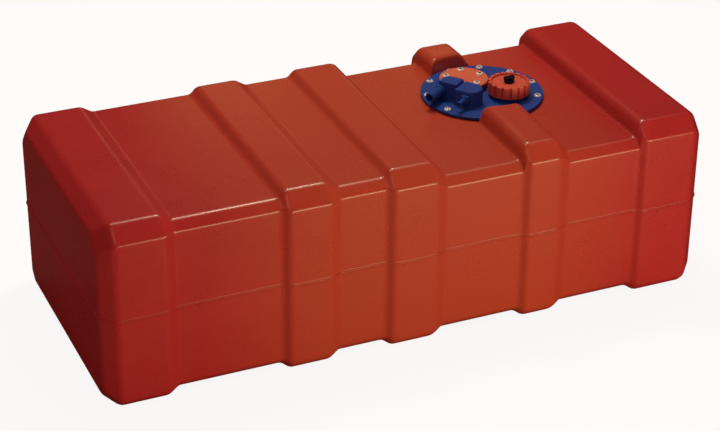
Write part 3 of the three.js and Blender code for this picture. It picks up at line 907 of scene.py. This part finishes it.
        corners = np.empty((*loop.shape[:2], 3))
        corners[..., 0] = x[:, None] + bulge * outward[:, :1]
        corners[..., 1] = loop[..., 0] + bulge * outward[:, 1:] * np.sign(loop[..., 0])
        corners[..., 2] = loop[..., 1]
        stations, around = loop.shape[:2]
        faces = grid_faces(stations, around, ring=True)
        side_count, lid_count = side.shape[1], rows.shape[1]
        for start, flip in ((0, False), ((stations - 1) * around, True)):
            faces.extend(self.end_faces(start, side_count, lid_count, around, flip))
        return Shell(corners.reshape(-1, 3), faces)

    @staticmethod
    def end_faces(
        start: int, side: int, lid: int, around: int, flip: bool
    ) -> list[tuple[int, ...]]:
        """Fill one end: strips between the two sides, then the top and the base edge."""
        back = (start + np.arange(side)[::-1]).tolist()
        front = (start + side + lid + np.arange(side)).tolist()
        strips = [(back[i], back[i + 1], front[i + 1], front[i]) for i in range(side - 1)]
        top = tuple(range(start + side - 1, start + side + lid + 1))
        under = tuple(range(start + 2 * side + lid - 1, start + around)) + (start,)
        made = [*strips, top, under]
        return [face[::-1] for face in made] if flip else made

    def swell(self, x: Array, y: Array, top: Array) -> Array:
        """How much the band beside the seat rises towards it: an eased step along Y."""
        near = np.clip((self.swell_from - np.abs(y)) / self.swell_run, 0, 1)
        eased = near * near * (3 - 2 * near)
        raised = (top - self.seat_height) / (self.height - self.seat_height)
        beside = np.abs(x - self.swell_middle) < self.swell_half
        on_band = np.clip(raised, 0, 1)[:, None] * beside
        return self.seat_swell * eased * on_band

    def build(self, material: Material) -> None:
        """Make the skin and let it stand for the tank's node."""
        make_piece("tank_skin", [self.skin()], material, "tank_plastic", "tank", ["tank_shell"])


@dataclass
class Screw:
    """A pan-head screw with a washer flange and a hexagon recess, painted dark inside as shade."""

    steel: Material
    # Painted shade: the dark material for the faces inside the recess, standing in for the shadow
    # that falls in it.
    socket: Material
    flange_radius: float = 5.2
    flange_thickness: float = 0.9
    head_radius: float = 4.2
    head_height: float = 2.7
    recess_radius: float = 2.5
    recess_depth: float = 2.5
    recess_spread: float = 1.07
    # How far the painted shade reaches: a share of the recess radius, and how far below the head's
    # top it stops.
    painted_shade_reach: float = 1.1
    painted_shade_below: float = 0.2
    shank_radius: float = 2.5
    sides: int = 48

    def shell(self, reach: float) -> Shell:
        """The whole screw, its head standing on height zero.

        Args:
            reach: how far the shank goes down.

        Returns:
            The closed surface; rings in the recess follow a hexagon,
            r = a cos 30 / cos(angle within a side).
        """
        top, flange = self.head_height, self.flange_thickness
        outer = rounded(
            [
                (0, -reach),
                (self.shank_radius, -reach),
                (self.shank_radius, 0),
                (self.flange_radius, 0),
                (self.flange_radius, flange),
                (self.head_radius, flange),
                (self.head_radius - 0.15, top - 0.35),
                (self.recess_radius + 0.6, top),
            ],
            [0, 0.4, 0.1, 0.3, 0.3, 0.35, 1.3, 0],
            steps=4,
            support=0.2,
        )
        mouth, floor = self.recess_radius, top - self.recess_depth
        recess = [
            *((mouth + 0.35, top), (mouth + 0.15, top - 0.06), (mouth, top - 0.3)),
            *((mouth, floor), (mouth * 0.6, floor), (0, floor - 0.15)),
        ]
        profile = np.concatenate([outer, recess])
        hexed = np.zeros(len(profile))
        hexed[len(outer) :] = [0.3, 0.8, 1, 1, 0.5, 0]

        def swell(angle: Array, ring: Array) -> Array:
            within = np.mod(angle, math.pi / 3) - math.pi / 6
            hexagon = math.cos(math.pi / 6) / np.cos(within) * self.recess_spread
            return hexed[ring] * profile[ring, 0] * (hexagon - 1)

        return turned(profile, self.sides, swell)

    def build(self, node: str, place: Pair, seat: float) -> None:
        """Make one screw, the faces inside its recess given a dark material as painted shade.

        Args:
            node: the frame node that it stands for.
            place: its axis seen from above.
            seat: the height that its head stands on.
        """
        low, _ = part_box(node)
        shell = self.shell(seat - low.z / MM).moved(at(*place, seat))
        made = make_piece(f"{node}_turned", [shell], self.steel, "stainless_steel", "tank", [node])
        mesh = made.data
        # Painted shade: the faces inside the recess take the dark material in place of the shadow
        # there.
        mesh.materials.append(self.socket)
        centres = np.empty(len(mesh.polygons) * 3)
        mesh.polygons.foreach_get("center", centres)
        x, y, z = (centres.reshape(-1, 3) / MM - np.array([*place, seat])).T
        inside = np.hypot(x, y) < self.recess_radius * self.painted_shade_reach
        inside &= (z > 0) & (z < self.head_height - self.painted_shade_below)
        mesh.polygons.foreach_set("material_index", inside.astype(np.int32))


@dataclass
class PlateFittings:
    """The access plate with its neck, boss, two housings and spigots, and its screws."""

    plate_radius: float = 92.5
    plate_low: float = 256.1
    plate_top: float = 260.4
    neck_top: float = 275.8
    neck_bore: float = 21.0
    neck_outer: float = 25.0
    boss_radius: float = 35.5
    boss_top: float = 265.8
    thread_pitch: float = 4.0
    thread_proud: float = 1.4
    thread_half: float = 1.1
    thread_flank: float = 0.6
    thread_levels: int = 42
    gasket: tuple[float, ...] = (72.0, 90.0, 254.3, 255.8, 0.4)
    locating_ring: Pair = (67.0, 70.0)
    pipe_socket: Pair = (5.4, 8.9)
    pipe_socket_depth: float = 12.0
    pipe_axis: Pair = (46.0, 5.5)
    spigot_length: float = 33.0
    barb_count: int = 5
    barb_pitch: float = 4.2
    barb_after: float = 1.05
    vent_top: float = 289.4
    outlet_top: float = 286.4
    vent_axis: Pair = (-41.0, 274.9)
    outlet_axis: Pair = (5.5, 274.4)
    screw_circle: float = 84.0
    close_pitch: float = 33.5
    close_count: int = 6
    wide_count: int = 4
    first_screw: float = -34.0

    def foot(self, height: float, edge: float, flare: float = 2.2, draft: float = 0.5) -> Array:
        """The side of a moulded block: a flared foot, a slight taper and a rounded top edge.

        Args:
            height: top of the block.
            edge: radius of its top edge.
            flare: radius where it runs into the plate.
            draft: how much narrower it gets towards the top.

        Returns:
            (offset, height) pairs from the bottom up.
        """
        base = self.plate_top + 0.02
        corners = [
            *((flare + 2, self.plate_top - 0.6), (flare + 1.0, base), (0, base)),
            *((-draft, height), (-draft - edge - 4, height)),
        ]
        return rounded(corners, [0, 0.1, flare, edge, 0], steps=6, support=0.5)[:-1]

    def disc(self) -> Shell:
        """The round plate with eased edges."""
        low, top, radius = self.plate_low, self.plate_top, self.plate_radius
        side = [(radius - 0.4, low), (radius, low + 1.0), (radius - 0.2, top)]
        disc = lathe([(0, low), *side, (0, top)], [0, 0.4, 0.6, 1.1, 0], 192)
        return disc.moved(at(PLATE_AXES.x, PLATE_AXES.y))

    def neck(self) -> Shell:
        """The filler neck with its thread.

        The radius grows by the thread's ridge, an eased bump in
        z - pitch * angle / a whole turn, over the threaded heights.
        """
        low, top = self.plate_top - 0.5, self.neck_top
        threads = np.linspace(top - 9.2, top - 1.0, self.thread_levels)
        heights = np.concatenate([[low, low + 2.0, low + 4.0], threads])
        outer = np.stack([np.full(len(heights), self.neck_outer), heights], axis=1)
        bore, wide = self.neck_bore, self.neck_outer
        mouth = [(wide, top - 1.0), (wide, top), (bore, top), (bore, low)]
        lip = rounded(mouth, [0, 0.7, 0.7, 0], steps=4, support=0.3)
        profile = np.concatenate([outer, lip[1:], outer[:1]])
        threaded = len(heights)

        def swell(angle: Array, ring: Array) -> Array:
            height = profile[ring, 1]
            rise = height - (top - 8.0) - self.thread_pitch * angle / (2 * math.pi)
            turn = np.mod(rise, self.thread_pitch) - self.thread_pitch / 2
            ridge = np.clip((self.thread_half - np.abs(turn)) / self.thread_flank, 0, 1)
            start = np.clip((height - (top - 8.8)) / 1.2, 0, 1)
            end = np.clip((top - 1.3 - height) / 0.9, 0, 1)
            return self.thread_proud * ridge * start * end * (ring < threaded)

        return turned(profile, 128, swell).moved(at(*NECK_PLACE))

    def boss(self) -> Shell:
        """The low round boss that the sender cover is screwed to."""
        base, top, radius = self.plate_top + 0.02, self.boss_top, self.boss_radius
        low, skirt = self.plate_top - 1, radius + 2.4
        side = [(skirt, low), (skirt, base), (radius, base), (radius - 0.1, top)]
        boss = lathe([(0, low), *side, (0, top)], [0, 0.1, 0.1, 1.6, 0.8, 0], 144)
        return boss.moved(at(*COVER_PLACE))

    def block(self, low: Pair, high: Pair, radii: Sequence[float], profile: Array) -> Shell:
        """A block between two corners in the spigots' axes."""
        polygon = [low, (high[0], low[1]), high, (low[0], high[1])]
        return upright(polygon, radii, profile).moved(PLATE_AXES.from_spigot_axes)

    def housings(self) -> list[Shell]:
        """The two housings, the small boss on the lower one and the web under the spigot."""
        vent_side, outlet_side = self.foot(self.vent_top, 1.4), self.foot(self.outlet_top, 3.0)
        web_side = self.foot(self.plate_top + 5.0, 1.0, flare=1.4, draft=0.3)
        v, z = self.outlet_axis
        low, high = z - 5.0, z + 6.0
        line = [(-3, low), (0, low), (0, high), (-3, high)]
        boss_side = rounded(line, [0, 1.3, 1.3, 0], steps=5, support=0.3)
        web = self.vent_axis[0]
        return [
            self.block((31.0, -45.0), (56.0, -14.0), (13.0, 1.6, 1.6, 1.6), vent_side),
            self.block((28.5, -14.4), (63.5, 23.0), (1.6, 1.6, 17.4, 17.4), outlet_side),
            self.block((56.0, v - 6.0), (68.5, v + 6.0), (0.3, 1.4, 1.4, 0.3), boss_side),
            self.block((54.0, web - 2.0), (81.0, web + 2.0), (0.3, 1.2, 1.2, 0.3), web_side),
        ]

    def vent_spigot(self) -> Shell:
        """The large spigot: a collar, five rounded barbs and an open bore, turned along u."""
        end = self.spigot_length
        line = [(0, -6), (8.6, -6), (8.6, 5), (6.5, 5.4)]
        radii = [0, 0.5, 1.2, 0.8]
        for i in range(self.barb_count):
            turns = self.barb_count - i
            tooth = end - 3 - turns * self.barb_pitch + self.barb_pitch - self.barb_after
            line += [(6.5, tooth), (8.4, tooth + 0.3), (6.5, tooth + 3.1)]
            radii += [0.15, 0.4, 0.25]
        line += [(6.8, end), (5.0, end), (5.0, 4), (0, 3)]
        radii += [0.8, 0.6, 0.5, 0]
        spigot = lathe(line, radii, 72, steps=4, support=0.15)
        return spigot.moved(PLATE_AXES.along_spigot(56.0, *self.vent_axis))

    def outlet_spigot(self) -> Shell:
        """The small fuel spigot with one barb at its mouth, turned along u."""
        outside = [(4.6, -2), (4.6, 5.6), (3.3, 6.4), (3.3, 18.2), (3.95, 18.5), (3.2, 22)]
        line = [(0, -2), *outside, (2, 22), (2, 4), (0, 3.5)]
        radii = [0, 0.2, 0.6, 0.8, 0.1, 0.3, 0.4, 0.4, 0.3, 0]
        spigot = lathe(line, radii, 48, steps=4, support=0.15)
        return spigot.moved(PLATE_AXES.along_spigot(63.5, *self.outlet_axis))

    def below(self) -> list[Shell]:
        """The locating ring and the pick-up pipe's socket under the plate."""
        low, high = self.plate_low, self.plate_low + 0.5
        ring = washer(*self.locating_ring, low - 5.0, high, 0.6, 144)
        socket = washer(*self.pipe_socket, low - self.pipe_socket_depth, high, 0.6, 48)
        x, y, _ = PLATE_AXES.from_spigot_axes(np.array([[*self.pipe_axis, 0.0]]))[0]
        return [ring.moved(at(PLATE_AXES.x, PLATE_AXES.y)), socket.moved(at(x, y))]

    def flange_places(self) -> list[Pair]:
        """Where the ten flange screws stand: closer together at the back than at the front."""
        wide_pitch = (360 - self.close_count * self.close_pitch) / self.wide_count
        pitches = [self.close_pitch] * self.close_count + [wide_pitch] * (self.wide_count - 1)
        angles = self.first_screw + np.concatenate([[0.0], np.cumsum(pitches)])
        return [PLATE_AXES.polar(self.screw_circle, math.radians(a)) for a in angles]

    def build(self, plastic: Material, screw: Screw, rubber: Material) -> None:
        """Make the plate, its gasket and its ten screws."""
        shells = [self.disc(), self.neck(), self.boss(), *self.housings(), *self.below()]
        shells += [self.vent_spigot(), self.outlet_spigot()]
        stands_for = ["access_plate"]
        make_piece("access_plate_moulding", shells, plastic, "plate_plastic", "tank", stands_for)
        gasket = washer(*self.gasket, 192).moved(at(PLATE_AXES.x, PLATE_AXES.y))
        make_piece("flange_gasket_ring", [gasket], rubber, "seal_rubber", "tank", ["flange_gasket"])
        for i, place in enumerate(self.flange_places()):
            screw.build(f"flange_screw_{i + 1:02d}", place, self.plate_top + 0.3)


@dataclass
class SenderCover:
    """The blank cover over the sender hole, its rubber and its five screws."""

    place: Pair = COVER_PLACE
    radius: float = 37.0
    low: float = 267.9
    top: float = 271.9
    gasket: tuple[float, ...] = (20.0, 37.0, 266.1, 267.6, 0.4)
    screw_circle: float = 27.0
    first_screw: float = 3.0
    screw_count: int = 5

    def build(self, plastic: Material, screw: Screw, rubber: Material) -> None:
        """Make the cover, its rubber and its screws."""
        side = [(self.radius, self.low), (self.radius - 0.1, self.top)]
        disc = lathe([(0, self.low), *side, (0, self.top)], [0, 0.4, 1.1, 0], 144)
        disc = disc.moved(at(*self.place))
        stands_for = ["sender_hole_cover"]
        make_piece("sender_cover_disc", [disc], plastic, "cover_plastic", "tank", stands_for)
        gasket = washer(*self.gasket, 144).moved(at(*self.place))
        make_piece("cover_gasket_ring", [gasket], rubber, "seal_rubber", "tank", ["cover_gasket"])
        x, y = self.place
        for i in range(self.screw_count):
            angle = math.radians(self.first_screw + 360 * i / self.screw_count)
            across, up = self.screw_circle * math.cos(angle), self.screw_circle * math.sin(angle)
            screw.build(f"cover_screw_{i + 1}", (x + across, y + up), self.top + 0.3)


@dataclass
class FillerCap:
    """The screw cap: a grooved rim, a dished face, and the vent screw with its thumb wing."""

    place: Pair = NECK_PLACE
    radius: float = 31.5
    bottom: float = 266.4
    top: float = 284.4
    face: float = 281.4
    dish_radius: float = 26.0
    ceiling: float = 278.4
    bore: float = 27.0
    groove_count: int = 16
    groove_half: float = 1.9
    groove_edge: float = 0.4
    groove_depth: float = 3.0
    vent_hole: float = 3.4
    wing_top: float = 291.8
    wing_base: float = 283.0
    wing_half: float = 8.7
    wing_foot_half: float = 5.8
    stem_low: float = 276.9
    seal: tuple[float, ...] = (21.5, 25.0, 276.1, 278.1, 0.5)
    vent_seal: tuple[float, ...] = (3.4, 6.6, 281.7, 282.7, 0.3)

    def groove(self, angle: Array) -> Array:
        """How deep the rim is cut at an angle.

        The depth is groove_depth * t t (3 - 2 t), with s the distance along the rim from a
        groove's middle and t = (groove_half + groove_edge - s) / (2 groove_edge), from 0 to 1.
        """
        pitch = 2 * math.pi / self.groove_count
        away = np.abs(np.mod(angle + pitch / 2, pitch) - pitch / 2) * self.radius
        reach = self.groove_half + self.groove_edge
        share = np.clip((reach - away) / (2 * self.groove_edge), 0, 1)
        return self.groove_depth * share * share * (3 - 2 * share)

    def shell(self) -> Shell:
        """The cap itself, grooves included."""
        corners = [
            *((self.vent_hole, self.ceiling), (self.bore, self.ceiling)),
            *((self.bore, self.bottom), (self.radius, self.bottom)),
            *((self.radius - 0.15, self.top), (self.dish_radius, self.top)),
            *((self.dish_radius - 0.2, self.face), (self.vent_hole, self.face)),
            (self.vent_hole, self.ceiling),
        ]
        radii = [0, 0.8, 0.5, 0.8, 1.2, 0.9, 0.9, 0.4, 0]
        profile = rounded(corners, radii, steps=5, support=0.4)
        cut = (profile[:, 0] > self.radius - 2.2) & (profile[:, 1] > self.bottom + 0.3)

        def swell(angle: Array, ring: Array) -> Array:
            return np.where(cut[ring], -self.groove(angle), 0.0)

        return turned(profile, self.groove_count * 32, swell).moved(at(*self.place))

    def knob(self) -> list[Shell]:
        """The vent screw: a stem, a round base and a wing that widens to its top."""
        base, foot, half, top = self.wing_base, self.wing_foot_half, self.wing_half, self.wing_top
        line = [(0, self.stem_low), (3, self.stem_low), (3, base), (7.8, base), (7.8, base + 2.4)]
        radii = [0, 0.4, 0.2, 0.5, 0.8, 0]
        stem = lathe([*line, (0, base + 2.6)], radii, 64, support=0.2)
        outline = [
            *((-foot, base + 0.8), (foot, base + 0.8), (half, base + 3.6)),
            *((half, top), (-half, top), (-half, base + 3.6)),
        ]
        thick = [(-4, -3), (0, -3), (0, 3), (-4, 3)]
        side = rounded(thick, [0, 1.8, 1.8, 0], steps=6, support=0.2)[1:-1]
        wing = upright(outline, (1.0, 1.0, 3.2, 5.2, 5.2, 3.2), side)
        x, y = self.place

        def stand(points: Array) -> Array:
            return np.stack([x + points[:, 0], y - points[:, 2], points[:, 1]], axis=1)

        return [stem.moved(at(x, y)), wing.moved(stand)]

    def build(self, plastic: Material, knob: Material, rubber: Material) -> None:
        """Make the cap, its seals and the vent screw, each on the body that carries it."""
        seal = washer(*self.seal, 96).moved(at(*self.place))
        small = washer(*self.vent_seal, 64).moved(at(*self.place))
        for name, shells, material, slot, body, node in (
            ("filler_cap_moulding", [self.shell()], plastic, "cover_plastic", "cap", "filler_cap"),
            ("cap_seal_washer", [seal], rubber, "seal_rubber", "cap_seal_ring", "cap_seal"),
            ("vent_seal_washer", [small], rubber, "seal_rubber", "vent_seal_ring", "vent_seal"),
            ("vent_knob_moulding", self.knob(), knob, "knob_plastic", "vent_screw", "vent_knob"),
        ):
            make_piece(name, shells, material, slot, body, [node])


@dataclass(frozen=True)
class Lamp:
    """A rectangular soft lamp: its place and size in metres, its aim, power and colour."""

    name: str
    place: Triple
    size: Pair
    aim: Triple
    power: float
    colour: Colour

    def build(self) -> None:
        """Place the lamp and turn it to its aim."""
        data = bpy.data.lights.new(self.name, "AREA")
        data.shape = "RECTANGLE"
        data.size, data.size_y = self.size
        data.energy = self.power
        data.color = self.colour
        made = bpy.data.objects.new(self.name, data)
        made.location = Vector(self.place)
        made.rotation_mode = "QUATERNION"
        made.rotation_quaternion = (Vector(self.aim) - made.location).to_track_quat("-Z", "Y")
        bpy.context.scene.collection.objects.link(made)


@dataclass
class Studio:
    """A pale floor, soft lamps and the camera at the photograph's place."""

    camera_place: Triple = (-1101.5, -2518.3, 1616.0)
    forward: Triple = (0.35050902, 0.80386824, -0.48056142)
    right: Triple = (0.91790747, -0.39675176, 0.00582382)
    up: Triple = (0.185982, 0.44315222, 0.87694174)
    lens: float = 105.12
    sensor: float = 36.0
    far_limit: float = 50.0
    fill_level: float = 0.36
    fill_colour: Colour = (1.0, 0.40, 0.36)
    fill_in_gloss: float = 0.15
    floor_white: float = 0.70
    floor_glow: float = 0.82
    floor_seen: float = 1.10
    floor_height: float = -0.0003
    floor_reach: float = 20.0
    floor_in_gloss: float = 0.05
    lamps: tuple[Lamp, ...] = (
        Lamp("lamp_key", (0.22, 0.5, 1.6), (0.3, 0.3), (0.1, 0.1, 0.0), 8.2, (1.0, 0.88, 0.62)),
        Lamp("lamp_strip", (0.6, 0.3, 1.6), (1.1, 0.2), (0.5, 0.15, 0.0), 2.2, (1.0, 0.88, 0.6)),
        Lamp("lamp_top", (-0.3, 0.3, 1.5), (0.4, 0.4), (-0.1, 0.1, 0.2), 2.2, (1.0, 0.9, 0.7)),
        Lamp("lamp_front", (0.48, -1.5, 0.06), (1.1, 0.11), (0.1, 0, 0.12), 12.4, (1.0, 0.8, 0.45)),
        Lamp("lamp_left", (-0.8, -1.2, 1.7), (0.6, 0.6), (0.0, 0.0, 0.2), 1.6, (1.0, 0.8, 0.5)),
        Lamp("lamp_behind", (0.55, 2.2, 1.1), (0.3, 0.3), (0.0, 0.0, 0.28), 0.3, (1.0, 0.7, 0.3)),
        Lamp("lamp_corner", (1.1, 2.1, 0.95), (0.3, 0.3), (0, 0, 0.28), 0.25, (1.0, 0.7, 0.3)),
    )

    def camera(self) -> None:
        """Place the camera."""
        data = bpy.data.cameras.new("camera")
        data.lens = self.lens
        data.sensor_width = self.sensor
        data.clip_end = self.far_limit
        made = bpy.data.objects.new("camera", data)
        turn = Matrix((self.right, self.up, tuple(-x for x in self.forward))).transposed()
        made.matrix_world = Matrix.Translation(Vector(self.camera_place) * MM) @ turn.to_4x4()
        bpy.context.scene.collection.objects.link(made)
        bpy.context.scene.camera = made

    def floor(self) -> None:
        """A large pale floor that keeps the tank's shadow."""
        material = bpy.data.materials.new("floor_paint")
        material.use_nodes = True
        bench = Bench(material.node_tree)
        matt, dim = (
            bench.node("ShaderNodeBsdfDiffuse", None, {"Color": (level,) * 3 + (1.0,)})
            for level in (self.floor_white, self.floor_in_gloss)
        )
        glow = {"Color": (1, 1, 1, 1), "Strength": self.floor_seen}
        white = bench.node("ShaderNodeEmission", None, glow)
        seen = bench.node("ShaderNodeLightPath", output="Is Camera Ray")
        mirrored = bench.node("ShaderNodeLightPath", output="Is Glossy Ray")
        lit = bench.node("ShaderNodeMixShader", None, {0: mirrored, 1: matt, 2: dim})
        sockets = {0: seen * self.floor_glow, 1: lit, 2: white}
        mixed = bench.node("ShaderNodeMixShader", None, sockets)
        bench.node("ShaderNodeOutputMaterial", None, {"Surface": mixed})
        mesh = bpy.data.meshes.new("floor")
        z, far = self.floor_height, self.floor_reach
        corners = [(-far, -far, z), (far, -far, z), (far, far, z), (-far, far, z)]
        mesh.from_pydata(corners, [], [(0, 1, 2, 3)])
        mesh.materials.append(material)
        made = bpy.data.objects.new("floor", mesh)
        bpy.context.scene.collection.objects.link(made)

    def world(self) -> None:
        """An even soft surround, white where the camera sees it."""
        world = bpy.data.worlds.new("surround")
        world.use_nodes = True
        bench = Bench(world.node_tree)
        seen = bench.node("ShaderNodeLightPath", output="Is Camera Ray")
        mirrored = bench.node("ShaderNodeLightPath", output="Is Glossy Ray")
        level = self.fill_level * (1 - mirrored * (1 - self.fill_in_gloss)) * (1 - seen) + seen
        colour = bench.blend(seen, (*self.fill_colour, 1.0), (1.0, 1.0, 1.0, 1.0))
        shade = bench.node("ShaderNodeBackground", None, {"Color": colour, "Strength": level})
        bench.node("ShaderNodeOutputWorld", None, {"Surface": shade})
        bpy.context.scene.world = world

    def build(self) -> None:
        """Set up everything round the tank."""
        bpy.context.scene.view_settings.view_transform = "Standard"
        self.camera()
        self.floor()
        self.world()
        for lamp in self.lamps:
            lamp.build()


def dress_inner_nodes(
    nodes: dict[str, bpy.types.Object], steel: Material, natural: Material
) -> None:
    """Give the pieces inside the tank their finish; their shapes stay as they are."""
    finishes = {"backing_ring": steel, "fuel_dip_tube": natural, "pickup_strainer": natural}
    for name, material in finishes.items():
        mesh = nodes[name].data
        mesh.materials.clear()
        mesh.materials.append(material)
        LOG.info("%s: finish %s", name, material.name)


def main() -> None:
    """Load the frame and build every piece in order."""
    logging.basicConfig(level=logging.INFO, format="%(name)s %(message)s")
    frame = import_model()
    tank_red = MouldedPlastic(
        *("tank_polyethylene", linear(170, 44, 47), Moulding.SOFT_BLOWN),
        # Painted sheen: a warmer orange over the middle of the tank, standing in for the lamps'
        # sheen there.
        painted_sheen_colour=linear(175, 69, 49),
    ).make()
    cover_orange, cap_orange, plate_blue, knob_navy, natural = (
        MouldedPlastic(name, linear(*colour), Moulding.INJECTED, *rough_specular_mottling).make()
        for name, colour, rough_specular_mottling in (
            ("cover_moulding", (200, 100, 72), (0.5, 0.4, 0.10)),
            ("cap_moulding", (200, 84, 68), (0.5, 0.4, 0.08)),
            ("plate_nylon", (32, 68, 154), (0.5, 0.15, 0.10)),
            ("knob_nylon", (12, 14, 36), (0.45, 0.12)),
            ("natural_polyethylene", (222, 216, 200), (0.5,)),
        )
    )
    steel = TurnedSteel("stainless", linear(246, 250, 255)).make()
    # Painted shade: a near-black steel for inside the screws' recesses, standing in for their
    # shadow.
    socket = TurnedSteel("socket_shade", linear(26, 26, 30), roughness=0.6).make()
    rubber = SealRubber("seal_rubber", linear(20, 20, 24), linear(52, 52, 56)).make()
    TankBody().build(tank_red)
    screw = Screw(steel, socket)
    PlateFittings().build(plate_blue, screw, rubber)
    SenderCover().build(cover_orange, screw, rubber)
    FillerCap().build(cap_orange, knob_navy, rubber)
    dress_inner_nodes(frame["nodes"], steel, natural)
    Studio().build()


if __name__ == "__main__":
    main()
